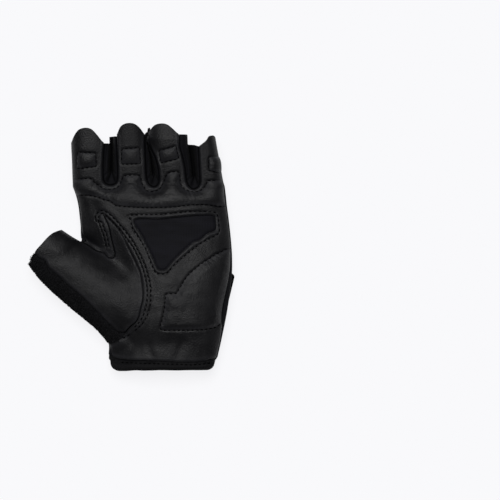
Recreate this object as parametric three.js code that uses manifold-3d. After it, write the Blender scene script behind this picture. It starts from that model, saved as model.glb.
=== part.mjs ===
// A fingerless weightlifting glove for the left hand, lying palm up on the back of the hand.
// Leather palm with pull tabs on the fingers, padded overlays, a knitted window in the palm,
// a leather thumb with a towelling back, stretch gussets between the fingers, a stretch back,
// an elastic cuff and a hook-and-loop wrist strap. Millimetres: +Y to the fingertips,
// +X to the little finger, +Z out of the palm. The origin is the bottom centre of the glove.
import * as THREE from "three";
import { mergeVertices } from "three/addons/utils/BufferGeometryUtils.js";
import Module from "manifold-3d";

const wasm = await Module();
wasm.setup();

// Driving dimensions of the glove.
const PALM_WIDTH = 98; // across the knuckles
const HAND_LENGTH = 121; // wrist hem to the crotches between the fingers
const HAND_DEPTH = 28; // floor to the top of the palm, as the glove lies
const FINGER_LENGTH = 33; // crotch level to the hem of the middle finger
const FINGER_WIDTH = 24;
const FINGER_DEPTH = 22;
const TAB_LENGTH = 8.5; // pull tab beyond the hem of the middle finger
const THUMB_LENGTH = 77.5; // from the middle of the thumb's root to its hem
const THUMB_WIDTH = 31; // across the thumb's opening
const THUMB_DEPTH = 22;

// Thickness of what the pieces are made of.
const LEATHER = 1.6;
const STRETCH = 1.2;
const TOWELLING = 1.8;
const KNIT = 1.0;
const ELASTIC = 2.0;
const PALM_PAD = 2.2;
const FINGER_PAD = 1.8;
const PAD_EDGE = 1.2; // an overlay is thinner along its stitched border
const PAD_BORDER = 1.5;
const PAD_MARGIN = 2.5; // between an overlay that wraps round the side and the side seam
const STRAP = 2.0;
const SEAM_GAP = 0.3; // between pieces that are sewn together
const KNIT_RECESS = 0.7; // the window lies below the leather round it

// Where the leather of the palm meets the cloth of the back, above the floor.
const SIDE_SEAM = 13.5;
const GUSSET_SEAM = 6; // lower edge of the stretch gussets between the fingers
const CUFF_WIDTH = 8.5;
const CUFF_SAG = 2.2; // the leather's edge over the cuff hangs this much lower mid-palm
const CUFF_LIFT = 1.6; // and rises towards the sides
const STRAP_WIDTH = 37;
const STRAP_LENGTH = 80;
const STRAP_START = 28; // from the wrist hem
const STRAP_CLEARANCE = 1; // round the strap under the back of the wrist
const STRAP_SLOPE = 6; // over which the cloth comes down to the floor again
const STRAP_OVERHANG = 1.6; // its end shows beyond the side of the glove
const STRAP_SLANT = 7.5; // how much shorter its lower edge is at that end
const STRAP_CORNER = 3;
const PATCH_CORNER = 1.6;
const CUFF_CORNER = 6;

const LOOP_POINTS = 32; // round the hand
const TUBE_POINTS = 18; // round a finger
const THUMB_POINTS = 20;
const HAND_STATIONS = 16;
const THUMB_STATIONS = 6;
const FINGER_STATIONS = 5;
const OVAL = 2.2; // squareness of the fingers and thumb
const BEYOND = 14; // tubes run past their openings by this much before they are trimmed
const FAR = 2 * (HAND_LENGTH + FINGER_LENGTH); // outside everything
const SKY = 3 * HAND_DEPTH; // reach of the upright cutters above and below the floor

// Cross-sections of the hand, wrist first. y is a share of HAND_LENGTH, left and right are shares
// of PALM_WIDTH from the middle of the wrist, and top is a share of HAND_DEPTH.
const HAND = [
  { y: 0, left: -0.357, right: 0.35, top: 0.8 },
  { y: 0.066, left: -0.36, right: 0.366, top: 0.82 },
  { y: 0.17, left: -0.36, right: 0.395, top: 0.92 },
  { y: 0.33, left: -0.35, right: 0.434, top: 1.0 },
  { y: 0.5, left: -0.36, right: 0.462, top: 1.0 },
  { y: 0.6, left: -0.43, right: 0.466, top: 0.97 },
  { y: 0.69, left: -0.54, right: 0.46, top: 0.93 },
  { y: 0.8, left: -0.557, right: 0.446, top: 0.91 },
  { y: 0.9, left: -0.57, right: 0.43, top: 0.92 },
  { y: 0.96, left: -0.577, right: 0.422, top: 0.87 },
  { y: 1.0, left: -0.584, right: 0.408, top: 0.79 },
  { y: 1.035, left: -0.56, right: 0.38, top: 0.66 },
];
const HAND_MIDDLE = 0.4; // height of the sections' middle, a share of HAND_DEPTH
const HAND_SQUARENESS = 2.5;

// The fingers. start, root and tip are the middle of the tube inside the hand, at crotch level and
// at its hem, left and right the leather's edges at the hem: shares of PALM_WIDTH. The widths are
// shares of FINGER_WIDTH, hem of FINGER_LENGTH and tab of TAB_LENGTH. lean moves the tab's peak.
const FINGERS = [
  { start: -0.435, root: -0.474, tip: -0.483, rootWidth: 1.0, tipWidth: 1.08, hem: 0.86,
    left: -0.617, right: -0.391, tab: 1.2, lean: 1 },
  { start: -0.204, root: -0.207, tip: -0.224, rootWidth: 1.15, tipWidth: 0.96, hem: 1.0,
    left: -0.31, right: -0.13, tab: 1.01, lean: 0.85 },
  { start: 0.06, root: 0.072, tip: 0.037, rootWidth: 1.04, tipWidth: 1.09, hem: 1.04,
    left: -0.101, right: 0.111, tab: 0.85, lean: 1 },
  { start: 0.29, root: 0.308, tip: 0.271, rootWidth: 0.84, tipWidth: 0.76, hem: 0.8,
    left: 0.242, right: 0.374, tab: 0.85, lean: 0.42 },
];
const FINGER_NECK = 0.3; // how much the tubes narrow towards their start inside the hand
const FINGER_LIFT = 3.5; // how far the fingers' hems stand off the floor
// Outline of a pull tab: shares of the leather's width at the hem and of the tab's length.
const TAB_OUTLINE = [
  { across: 0, rise: 0 }, { across: 0.1, rise: 0.5 }, { across: 0.24, rise: 0.88 },
  { across: 0.44, rise: 1 }, { across: 0.62, rise: 0.9 }, { across: 0.78, rise: 0.55 },
  { across: 0.92, rise: 0.16 }, { across: 1, rise: 0 },
];
// The padded patch on each finger: its middle and size as shares of PALM_WIDTH and FINGER_LENGTH.
const PATCHES = [
  { name: "index_pad", x: -0.5, y: 0.42, width: 0.128, height: 0.31, turn: -2 },
  { name: "middle_pad", x: -0.212, y: 0.53, width: 0.125, height: 0.31, turn: 2 },
  { name: "ring_pad", x: 0.045, y: 0.53, width: 0.118, height: 0.28, turn: 15 },
  { name: "little_pad", x: 0.377, y: 0.37, width: 0.13, height: 0.31, turn: -4 },
];

// Where the slots between the fingers end: shares of PALM_WIDTH and HAND_LENGTH.
const SLOTS = [
  { name: "index_gusset", x: -0.352, y: 1.009, width: 0.097 },
  { name: "middle_gusset", x: -0.065, y: 1.0, width: 0.076 },
  { name: "little_gusset", x: 0.207, y: 0.986, width: 0.086 },
];
const SLOT_FILLET = 0.45; // radius of the slot's foot, a share of its width

// Cross-sections of the thumb, root first. along is a share of THUMB_LENGTH from the root, aside
// and half are shares of THUMB_WIDTH, middle and depth shares of THUMB_DEPTH.
const THUMB = [
  { along: 0.0, aside: 0.45, half: 0.86, middle: 0.6, depth: 1.2 },
  { along: 0.22, aside: 0.42, half: 0.795, middle: 0.65, depth: 1.3 },
  { along: 0.55, aside: 0.242, half: 0.694, middle: 0.68, depth: 1.22 },
  { along: 0.83, aside: 0.108, half: 0.58, middle: 0.72, depth: 1.05 },
  { along: 1.0, aside: 0.09, half: 0.5, middle: 0.75, depth: 0.97 },
];
const THUMB_ANGLE = 135; // direction of the thumb, degrees from +X
const THUMB_ROOT = { u: -0.2525, v: 0.2045 };
const THUMB_TAB = 2.6;
const THUMB_TAB_EDGES = [-0.3, 0.6]; // shares of THUMB_WIDTH beside the axis

// Lines on the palm: u is a share of PALM_WIDTH, v of HAND_LENGTH.
const THUMB_SEAM = [
  { u: -0.5, v: 0.128 }, { u: -0.424, v: 0.136 }, { u: -0.303, v: 0.158 }, { u: -0.222, v: 0.229 },
  { u: -0.175, v: 0.262 }, { u: -0.155, v: 0.2945 }, { u: -0.1414, v: 0.338 }, { u: -0.128, v: 0.382 },
  { u: -0.129, v: 0.436 }, { u: -0.138, v: 0.491 }, { u: -0.155, v: 0.545 }, { u: -0.182, v: 0.589 },
  { u: -0.222, v: 0.6545 }, { u: -0.276, v: 0.747 }, { u: -0.337, v: 0.807 }, { u: -0.377, v: 0.837 },
  { u: -0.404, v: 0.848 },
];
const TONGUE_SEAM = [
  { u: -0.404, v: 0.848 }, { u: -0.384, v: 0.813 }, { u: -0.3637, v: 0.7745 }, { u: -0.35, v: 0.72 },
  { u: -0.3367, v: 0.6764 }, { u: -0.326, v: 0.63 }, { u: -0.34, v: 0.614 }, { u: -0.364, v: 0.619 },
  { u: -0.397, v: 0.641 }, { u: -0.451, v: 0.657 }, { u: -0.505, v: 0.687 }, { u: -0.54, v: 0.706 },
  { u: -0.575, v: 0.74 }, { u: -0.605, v: 0.8 },
];
const THUMB_BACK_SEAM = [
  { u: -0.5, v: 0.13 }, { u: -0.33, v: 0.17 }, { u: -0.3, v: 0.3 }, { u: -0.36, v: 0.47 },
  { u: -0.45, v: 0.6 }, { u: -0.54, v: 0.706 }, { u: -0.575, v: 0.74 }, { u: -0.605, v: 0.8 },
];
const TOWEL_SEAM = [
  { u: -0.94, v: 0.72 }, { u: -0.8486, v: 0.63 }, { u: -0.788, v: 0.595 }, { u: -0.755, v: 0.553 },
  { u: -0.694, v: 0.507 }, { u: -0.626, v: 0.458 }, { u: -0.559, v: 0.4145 }, { u: -0.4916, v: 0.3627 },
  { u: -0.424, v: 0.3055 }, { u: -0.357, v: 0.251 }, { u: -0.303, v: 0.2127 }, { u: -0.269, v: 0.2045 },
  { u: -0.15, v: 0.19 },
];
const WINDOW = [
  { u: -0.192, v: 0.815 }, { u: 0.013, v: 0.822 }, { u: 0.215, v: 0.84 }, { u: 0.337, v: 0.838 },
  { u: 0.357, v: 0.8 }, { u: 0.35, v: 0.758 }, { u: 0.182, v: 0.68 }, { u: 0.061, v: 0.586 },
  { u: 0.03, v: 0.556 }, { u: 0.007, v: 0.545 }, { u: -0.02, v: 0.549 }, { u: -0.04, v: 0.567 },
  { u: -0.1, v: 0.671 }, { u: -0.135, v: 0.725 },
];
const HEEL_PAD = [
  { u: 0.55, v: 0.68 }, { u: 0.411, v: 0.652 }, { u: 0.296, v: 0.603 }, { u: 0.202, v: 0.545 },
  { u: 0.135, v: 0.475 }, { u: 0.088, v: 0.424 }, { u: 0.024, v: 0.413 }, { u: 0.013, v: 0.355 },
  { u: -0.015, v: 0.224 }, { u: 0.18, v: 0.221 }, { u: 0.33, v: 0.229 }, { u: 0.55, v: 0.27 },
];
const KNUCKLE_PAD_FOOT = [
  { u: 0.55, v: 0.89 }, { u: 0.384, v: 0.892 }, { u: 0.249, v: 0.903 }, { u: 0.101, v: 0.89 },
  { u: -0.05, v: 0.885 }, { u: -0.24, v: 0.893 }, { u: -0.33, v: 0.908 }, { u: -0.37, v: 0.927 },
  { u: -0.44, v: 0.944 }, { u: -0.7, v: 0.952 },
];
// The knuckle pad's upper edge dips round each slot: shares of SCALLOP_WIDTH and SCALLOP_DEPTH.
const SCALLOP = [
  { across: -0.55, rise: 0.96 }, { across: -0.42, rise: 0.5 }, { across: -0.25, rise: 0.1 },
  { across: 0, rise: 0 }, { across: 0.25, rise: 0.1 }, { across: 0.42, rise: 0.5 },
  { across: 0.55, rise: 0.96 },
];
const SCALLOP_WIDTH = 19;
const SCALLOP_DEPTH = 8.6;
const CROTCH_RIM = 3; // leather left between a slot's foot and the knuckle pad

// Dents where the slack leather sinks. wide and long are their reach across and along an axis
// turned by some degrees, shares of PALM_WIDTH, and depth is a share of HAND_DEPTH.
const DENTS = [
  { u: -0.33, v: 0.56, turn: 118, wide: 0.08, long: 0.27, depth: 0.115 },
  { u: -0.48, v: 0.7, turn: 150, wide: 0.07, long: 0.12, depth: 0.16 },
  { u: -0.27, v: 0.24, turn: 140, wide: 0.05, long: 0.12, depth: 0.085 },
  { u: -0.06, v: 0.45, turn: 100, wide: 0.06, long: 0.18, depth: 0.057 },
  { u: 0.02, v: 0.95, turn: 90, wide: 0.04, long: 0.09, depth: 0.036 },
];

const at = ({ u, v }) => new THREE.Vector2(u * PALM_WIDTH, v * HAND_LENGTH);

// A closed three.js geometry as a manifold solid.
function solid(geometry) {
  geometry.deleteAttribute("normal");
  geometry.deleteAttribute("uv");
  const merged = mergeVertices(geometry, 1e-4);
  return new wasm.Manifold(new wasm.Mesh({
    numProp: 3,
    vertProperties: merged.attributes.position.array,
    triVerts: new Uint32Array(merged.index.array),
  }));
}

// A skin over loops of equally many points, closed at both ends.
function loft(loops) {
  const n = loops[0].length;
  const points = loops.flat();
  const faces = [];
  for (let i = 0; i + 1 < loops.length; i++) {
    for (let k = 0; k < n; k++) {
      const [a, b] = [i * n + k, i * n + ((k + 1) % n)];
      faces.push(a, b, b + n, a, b + n, a + n);
    }
  }
  const last = (loops.length - 1) * n;
  for (let k = 1; k + 1 < n; k++) faces.push(0, k + 1, k, last, last + k, last + k + 1);
  const flat = faces.flatMap((i) => points[i].toArray());
  const geometry = new THREE.BufferGeometry();
  geometry.setAttribute("position", new THREE.Float32BufferAttribute(flat, 3));
  return solid(geometry);
}

// One loop: a rounded rectangle between an ellipse (squareness 2) and a box, spanned by two axes.
function ring(middle, across, up, halfWidth, halfDepth, squareness, count) {
  return Array.from({ length: count }, (_, k) => {
    const angle = (2 * Math.PI * k) / count;
    const [c, s] = [Math.cos(angle), Math.sin(angle)];
    const round = (t) => Math.sign(t) * Math.abs(t) ** (2 / squareness);
    return middle.clone()
      .addScaledVector(across, halfWidth * round(c))
      .addScaledVector(up, halfDepth * round(s));
  });
}

// Table rows read at a share t of the way through them, smoothly, one named column at a time.
function between(rows, t, column) {
  const f = t * (rows.length - 1);
  const i = Math.min(Math.floor(f), rows.length - 2);
  const pick = (k) => rows[Math.min(Math.max(k, 0), rows.length - 1)][column];
  const [p0, p1, p2, p3] = [pick(i - 1), pick(i), pick(i + 1), pick(i + 2)];
  const w = f - i;
  return p1 + 0.5 * w * (p2 - p0 + w * (2 * p0 - 5 * p1 + 4 * p2 - p3 + w * (3 * (p1 - p2) + p3 - p0)));
}

const ACROSS = new THREE.Vector3(-1, 0, 0);
const UP = new THREE.Vector3(0, 0, 1);

// How far the leather sinks at a point in plan.
function sag(x, y) {
  return DENTS.reduce((sum, dent) => {
    const centre = at(dent);
    const turn = THREE.MathUtils.degToRad(dent.turn);
    const [dx, dy] = [x - centre.x, y - centre.y];
    const along = (dx * Math.cos(turn) + dy * Math.sin(turn)) / (dent.long * PALM_WIDTH);
    const aside = (dy * Math.cos(turn) - dx * Math.sin(turn)) / (dent.wide * PALM_WIDTH);
    return sum + dent.depth * HAND_DEPTH * Math.exp(-(along * along + aside * aside));
  }, 0);
}

// A loop of a tube with its upper half sunk by the dents.
function dented(loop, middle) {
  const deepest = Math.max(...loop.map((p) => p.z)) - middle.z;
  loop.forEach((p) => { p.z -= sag(p.x, p.y) * Math.max(0, (p.z - middle.z) / deepest); });
  return loop;
}

// The hand's tube, every surface moved out by grow.
function handTube(grow) {
  const loops = Array.from({ length: HAND_STATIONS + 1 }, (_, i) => {
    const row = (column) => between(HAND, i / HAND_STATIONS, column);
    const [left, right] = [row("left") * PALM_WIDTH, row("right") * PALM_WIDTH];
    const middle = HAND_MIDDLE * HAND_DEPTH;
    const end = i === HAND_STATIONS ? grow : 0;
    const centre = new THREE.Vector3((left + right) / 2, row("y") * HAND_LENGTH + end, middle);
    const width = (right - left) / 2 + grow;
    const depth = row("top") * HAND_DEPTH - middle + grow;
    return dented(ring(centre, ACROSS, UP, width, depth, HAND_SQUARENESS, LOOP_POINTS), centre);
  });
  const mouth = loops[0].map((p) => p.clone().setY(-BEYOND));
  return loft([mouth, ...loops]);
}

const hemHeight = (finger) => HAND_LENGTH + finger.hem * FINGER_LENGTH;
const fingerShare = (finger, y) => (y - HAND_LENGTH) / (finger.hem * FINGER_LENGTH);
const fingerStart = HAND_LENGTH - FINGER_LENGTH / 2;
function fingerMiddle(finger, y) {
  const inside = (HAND_LENGTH - y) / (HAND_LENGTH - fingerStart);
  const [from, share] = inside > 0 ? [finger.start, inside] : [finger.tip, fingerShare(finger, y)];
  return (finger.root + (from - finger.root) * share) * PALM_WIDTH;
}

// A finger's tube: oval, from inside the hand to past its hem, curling up off the floor.
function fingerTube(finger, grow) {
  const end = hemHeight(finger) + BEYOND;
  const loops = Array.from({ length: FINGER_STATIONS + 1 }, (_, i) => {
    const y = fingerStart + ((end - fingerStart) * i) / FINGER_STATIONS;
    const out = Math.max(0, (y - HAND_LENGTH) / FINGER_LENGTH);
    const middle = new THREE.Vector3(fingerMiddle(finger, y), y, FINGER_DEPTH / 2 + FINGER_LIFT * out);
    const share = fingerShare(finger, y);
    const neck = 1 - FINGER_NECK * Math.max(0, -share);
    const width = (finger.rootWidth + (finger.tipWidth - finger.rootWidth) * share) * neck;
    const half = (width * FINGER_WIDTH) / 2;
    const halfDepth = (FINGER_DEPTH * neck) / 2;
    return ring(middle, ACROSS, UP, half + grow, halfDepth + grow, OVAL, TUBE_POINTS);
  });
  return loft(loops);
}

const thumbAngle = THREE.MathUtils.degToRad(THUMB_ANGLE);
const THUMB_AXIS = new THREE.Vector3(Math.cos(thumbAngle), Math.sin(thumbAngle), 0);
const THUMB_ASIDE = new THREE.Vector3(Math.sin(thumbAngle), -Math.cos(thumbAngle), 0);
const thumbRoot = new THREE.Vector3(at(THUMB_ROOT).x, at(THUMB_ROOT).y, 0);
const onThumb = (along, aside) => thumbRoot.clone()
  .addScaledVector(THUMB_AXIS, along)
  .addScaledVector(THUMB_ASIDE, aside);

// The thumb's tube, wide where it leaves the hand and narrow at its hem.
function thumbTube(grow) {
  const loops = Array.from({ length: THUMB_STATIONS + 1 }, (_, i) => {
    const row = (column) => between(THUMB, i / THUMB_STATIONS, column);
    const middle = onThumb(row("along") * THUMB_LENGTH, row("aside") * THUMB_WIDTH);
    middle.z = row("middle") * THUMB_DEPTH;
    const halfDepth = (row("depth") * THUMB_DEPTH) / 2;
    const halfWidth = row("half") * THUMB_WIDTH;
    const across = THUMB_ASIDE.clone().negate();
    const loop = ring(middle, across, UP, halfWidth + grow, halfDepth + grow, OVAL, THUMB_POINTS);
    return dented(loop, middle);
  });
  const past = loops[loops.length - 1].map((p) => p.clone().addScaledVector(THUMB_AXIS, BEYOND));
  return loft([...loops, past]);
}

// A tall upright prism over a plan outline.
function prism(outline) {
  const settings = { depth: 2 * SKY, bevelEnabled: false };
  const geometry = new THREE.ExtrudeGeometry(new THREE.Shape(outline), settings);
  return solid(geometry.translate(0, 0, -SKY));
}

// A curve through points, in so many steps from each point to the next.
const smooth = (points, steps) => new THREE.SplineCurve(points).getPoints(steps * (points.length - 1));
const corners = (points) => points.map(([x, y]) => new THREE.Vector2(x, y));

// A thin upright wall along a line, which parts two pieces by the seam gap.
function seamCut(line) {
  const side = (sign) => line.map((p, i) => {
    const along = line[Math.min(i + 1, line.length - 1)].clone().sub(line[Math.max(i - 1, 0)]).normalize();
    return p.clone().add(new THREE.Vector2(-along.y, along.x).multiplyScalar((sign * SEAM_GAP) / 2));
  });
  return prism([...side(1), ...side(-1).reverse()]);
}

// What lies under the glove: the floor, and the strap on which the back of the wrist rests.
const strapTop = STRAP + SEAM_GAP;
function underFloor(raise) {
  const [low, high] = [STRAP_START - STRAP_CLEARANCE, STRAP_START + STRAP_WIDTH + STRAP_CLEARANCE];
  const profile = corners([
    [-FAR, -SKY], [-FAR, raise], [low - STRAP_SLOPE, raise], [low, strapTop + raise],
    [high, strapTop + raise], [high + STRAP_SLOPE, raise], [FAR, raise], [FAR, -SKY],
  ]);
  const depth = 2 * FAR;
  const geometry = new THREE.ExtrudeGeometry(new THREE.Shape(profile), { depth, bevelEnabled: false });
  geometry.rotateX(Math.PI / 2).rotateZ(Math.PI / 2).translate(-depth / 2, 0, 0);
  return solid(geometry);
}

// The whole glove as one body, every surface moved out by grow and flattened where it lies.
const bodies = new Map();
function body(grow) {
  if (!bodies.has(grow)) {
    const tubes = [handTube(grow), thumbTube(grow), ...FINGERS.map((f) => fingerTube(f, grow))];
    const joined = tubes.reduce((sum, tube) => sum.add(tube));
    bodies.set(grow, joined.subtract(underFloor(-grow)));
  }
  return bodies.get(grow);
}
const skin = (outside, inside) => body(outside).subtract(body(inside));

const slab = (z) => solid(new THREE.BoxGeometry(2 * FAR, 2 * FAR, SKY).translate(0, 0, z));
const above = (z) => slab(z + SKY / 2);
const below = (z) => slab(z - SKY / 2);

// The open line round a slot, from the hem of one finger's leather to the next one's.
function slotLine(i) {
  const slot = SLOTS[i];
  const half = (slot.width * PALM_WIDTH) / 2;
  const [x, y] = [slot.x * PALM_WIDTH, slot.y * HAND_LENGTH];
  const fillet = 2 * half * SLOT_FILLET;
  const bend = y + fillet + FINGER_LENGTH / 4;
  const line = new THREE.Path();
  line.moveTo(FINGERS[i].right * PALM_WIDTH, hemHeight(FINGERS[i]));
  line.lineTo(x - half, bend);
  line.lineTo(x - half, y + fillet);
  line.quadraticCurveTo(x - half, y, x - half + fillet, y);
  line.lineTo(x + half - fillet, y);
  line.quadraticCurveTo(x + half, y, x + half, y + fillet);
  line.lineTo(x + half, bend);
  line.lineTo(FINGERS[i + 1].left * PALM_WIDTH, hemHeight(FINGERS[i + 1]));
  return line.getPoints(3);
}

// A finger's pull tab, from its left edge at the hem to its right edge.
function tabLine(finger) {
  const width = (finger.right - finger.left) * PALM_WIDTH;
  const points = TAB_OUTLINE.map(({ across, rise }) => new THREE.Vector2(
    finger.left * PALM_WIDTH + width * across ** finger.lean,
    hemHeight(finger) + rise * finger.tab * TAB_LENGTH,
  ));
  return smooth(points, 2).slice(1, -1);
}

// The edge of the leather over the cuff, drawn to well past both sides of the wrist.
const wristHalf = HAND[1].right * PALM_WIDTH;
const cuffLine = smooth([-1.6, -0.8, 0, 0.8, 1.6].map((share) => new THREE.Vector2(
  share * wristHalf,
  CUFF_WIDTH - CUFF_SAG + (CUFF_SAG + CUFF_LIFT) * share ** 2,
)), 2);

// Plan regions that share the skin out among the pieces.
const V = (x, y) => new THREE.Vector2(x, y);
const handEnd = 0.95 * HAND_LENGTH; // the thumb's region stays below the index finger's side
const thumbSeam = smooth(THUMB_SEAM.map(at), 1);
const tongueSeam = smooth(TONGUE_SEAM.map(at), 1);
const towelSeam = smooth(TOWEL_SEAM.map(at), 1);
const backSeam = smooth(THUMB_BACK_SEAM.map(at), 2);
const slotLines = SLOTS.map((_, i) => slotLine(i));
const thumbEdge = tongueSeam.at(-1).x;

const palmOutline = [V(-FAR, -FAR), V(FAR, -FAR), V(FAR, hemHeight(FINGERS.at(-1)))];
for (let i = FINGERS.length - 1; i >= 0; i--) {
  palmOutline.push(...tabLine(FINGERS[i]).reverse());
  if (i > 0) palmOutline.push(...slotLines[i - 1].slice().reverse());
}
palmOutline.push(V(-FAR, hemHeight(FINGERS[0])));

const closing = [V(thumbEdge, handEnd), V(-FAR, handEnd), V(-FAR, thumbSeam[0].y)];
const thumbFront = prism([...thumbSeam, ...tongueSeam.slice(1), ...closing]);
const thumbBack = prism([...backSeam, ...closing]);
const leatherSide = prism([...towelSeam, V(FAR, towelSeam.at(-1).y), V(FAR, FAR), V(towelSeam[0].x, FAR)]);
const cuffRegion = prism([...cuffLine, V(FAR, -FAR), V(-FAR, -FAR)]);
const slots = slotLines.map((line) => prism([...line, V(line.at(-1).x, FAR), V(line[0].x, FAR)]));
const allSlots = slots.reduce((sum, slot) => sum.add(slot));
const windowLoop = smooth([...WINDOW, WINDOW[0]].map(at), 2).slice(1);
const windowHole = prism(windowLoop);

// A loop drawn in on all sides.
function drawnIn(loop, by) {
  const inward = THREE.ShapeUtils.area(loop) > 0 ? by : -by;
  return loop.map((p, i) => {
    const before = loop[(i + loop.length - 1) % loop.length];
    const along = loop[(i + 1) % loop.length].clone().sub(before).normalize();
    return p.clone().add(V(-along.y, along.x).multiplyScalar(inward));
  });
}

// Everything past the hems of the stretch cloth, finger by finger.
const valley = (i) => {
  const side = (finger, sign) => finger.tip * PALM_WIDTH + (sign * finger.tipWidth * FINGER_WIDTH) / 2;
  return (side(FINGERS[i], 1) + side(FINGERS[i + 1], -1)) / 2;
};
const pastHems = FINGERS.map((finger, i) => {
  const left = i === 0 ? -FAR : valley(i - 1);
  const right = i === FINGERS.length - 1 ? FAR : valley(i);
  const y = hemHeight(finger);
  return prism([V(left, y), V(right, y), V(right, FAR), V(left, FAR)]);
}).reduce((sum, part) => sum.add(part));

// Everything past the thumb's hem, without or with its pull tab.
const planThumb = (along, aside) => {
  const p = onThumb(along, aside);
  return V(p.x, p.y);
};
function pastThumb(tab) {
  const [from, to] = THUMB_TAB_EDGES.map((edge) => edge * THUMB_WIDTH);
  const edge = TAB_OUTLINE.map(({ across, rise }) =>
    planThumb(THUMB_LENGTH + rise * tab, from + (to - from) * across));
  const end = THUMB_LENGTH + 3 * BEYOND;
  return prism([
    planThumb(THUMB_LENGTH, -THUMB_WIDTH), ...edge, planThumb(THUMB_LENGTH, THUMB_WIDTH),
    planThumb(end, THUMB_WIDTH), planThumb(end, -THUMB_WIDTH),
  ]);
}

const seam = SEAM_GAP / 2;
const edges = [thumbSeam, tongueSeam, ...slotLines].map(seamCut).reduce((sum, cut) => sum.add(cut));
const cuffCut = seamCut(cuffLine);
const towelCut = seamCut(towelSeam);
const front = above(SIDE_SEAM + seam);
const towelFloor = SIDE_SEAM - seam;

// The leather of the palm and of the fingers.
const palmLeather = skin(0, -LEATHER)
  .intersect(prism(palmOutline)).intersect(front)
  .subtract(thumbFront).subtract(cuffRegion).subtract(windowHole)
  .subtract(edges).subtract(cuffCut);

// The leather and the towelling of the thumb.
const thumbLeather = skin(0, -LEATHER)
  .intersect(thumbFront).intersect(leatherSide).intersect(front)
  .subtract(edges).subtract(towelCut).subtract(pastThumb(THUMB_TAB));
const towelRegion = thumbFront.intersect(above(towelFloor)).subtract(leatherSide)
  .add(thumbBack.intersect(below(towelFloor)));
const thumbTowel = skin(0, -TOWELLING)
  .intersect(towelRegion)
  .subtract(seamCut(thumbSeam).intersect(above(towelFloor)))
  .subtract(seamCut(backSeam).intersect(below(towelFloor)))
  .subtract(towelCut.intersect(above(towelFloor)))
  .subtract(pastThumb(0)).subtract(cuffRegion).subtract(cuffCut);

// The knitted window, sewn in below the leather.
const meshInset = skin(-KNIT_RECESS, -KNIT_RECESS - KNIT)
  .intersect(prism(drawnIn(windowLoop, SEAM_GAP)))
  .intersect(front);

// The gussets between the fingers.
const gussets = slots.map((slot, i) => skin(0, -STRETCH)
  .intersect(slot).intersect(above(GUSSET_SEAM + seam))
  .subtract(seamCut(slotLines[i])).subtract(pastHems));

// The stretch back of the hand and fingers.
const backPanel = skin(0, -STRETCH)
  .intersect(below(SIDE_SEAM - 3 * seam))
  .subtract(allSlots.intersect(above(GUSSET_SEAM - seam)))
  .subtract(thumbBack).subtract(seamCut(backSeam))
  .subtract(cuffRegion).subtract(cuffCut).subtract(pastHems);

// The elastic round the wrist, with rounded corners.
const cuffCorner = (side) => Array.from({ length: 5 }, (_, k) => {
  const angle = (Math.PI / 8) * k;
  const reach = wristHalf - CUFF_CORNER * (1 - Math.sin(angle));
  return V(side * reach, CUFF_CORNER * (1 - Math.cos(angle)));
});
const cuffBinding = skin(0, -ELASTIC)
  .intersect(cuffRegion).subtract(cuffCut)
  .intersect(prism([
    V(-FAR, FAR), V(-FAR, CUFF_CORNER), ...cuffCorner(-1).reverse(),
    ...cuffCorner(1), V(FAR, CUFF_CORNER), V(FAR, FAR),
  ]));

// The padded overlays stand on the leather, a seam gap above it.
const padFoot = SIDE_SEAM + PAD_MARGIN;
const pad = (outline, height) => skin(PAD_EDGE, SEAM_GAP)
  .intersect(prism(outline))
  .intersect(above(padFoot))
  .add(skin(height, SEAM_GAP)
    .intersect(prism(drawnIn(outline, PAD_BORDER)))
    .intersect(above(padFoot + PAD_BORDER)));
const heelPad = pad(smooth(HEEL_PAD.map(at), 2), PALM_PAD);
const scallops = SLOTS.flatMap((slot) => SCALLOP.map(({ across, rise }) => V(
  slot.x * PALM_WIDTH + across * SCALLOP_WIDTH,
  slot.y * HAND_LENGTH - CROTCH_RIM + rise * SCALLOP_DEPTH,
)));
const knucklePad = pad([
  ...smooth(KNUCKLE_PAD_FOOT.map(at), 1),
  V(-FAR, scallops[0].y), ...scallops, V(FAR, scallops.at(-1).y),
], PALM_PAD);

const patches = PATCHES.map((patch) => {
  const [w, h] = [(patch.width * PALM_WIDTH) / 2, (patch.height * FINGER_LENGTH) / 2];
  const [x, y] = [w - PATCH_CORNER, h - PATCH_CORNER];
  const loop = corners([[-x, -h], [x, -h], [w, -y], [w, y], [x, h], [-x, h], [-w, y], [-w, -y]]);
  const middle = V(patch.x * PALM_WIDTH, HAND_LENGTH + patch.y * FINGER_LENGTH);
  const turn = THREE.MathUtils.degToRad(patch.turn);
  return pad(loop.map((p) => p.rotateAround(V(0, 0), turn).add(middle)), FINGER_PAD);
});

// The wrist strap lies flat on the floor under the back of the wrist, its end cut at a slant.
const strapRight = Math.max(...HAND.map((row) => row.right)) * PALM_WIDTH + STRAP_OVERHANG;
const strapLeft = strapRight - STRAP_LENGTH;
const strapEdge = STRAP_START + STRAP_WIDTH;
const strapShape = new THREE.Shape(corners([
  [strapLeft, STRAP_START], [strapRight - STRAP_SLANT - STRAP_CORNER, STRAP_START],
  [strapRight - STRAP_SLANT, STRAP_START + STRAP_CORNER], [strapRight, strapEdge - STRAP_CORNER],
  [strapRight - STRAP_CORNER / 4, strapEdge - STRAP_CORNER / 4],
  [strapRight - STRAP_CORNER, strapEdge], [strapLeft, strapEdge],
]));
const wristStrap = solid(new THREE.ExtrudeGeometry(strapShape, { depth: STRAP, bevelEnabled: false }));

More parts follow.
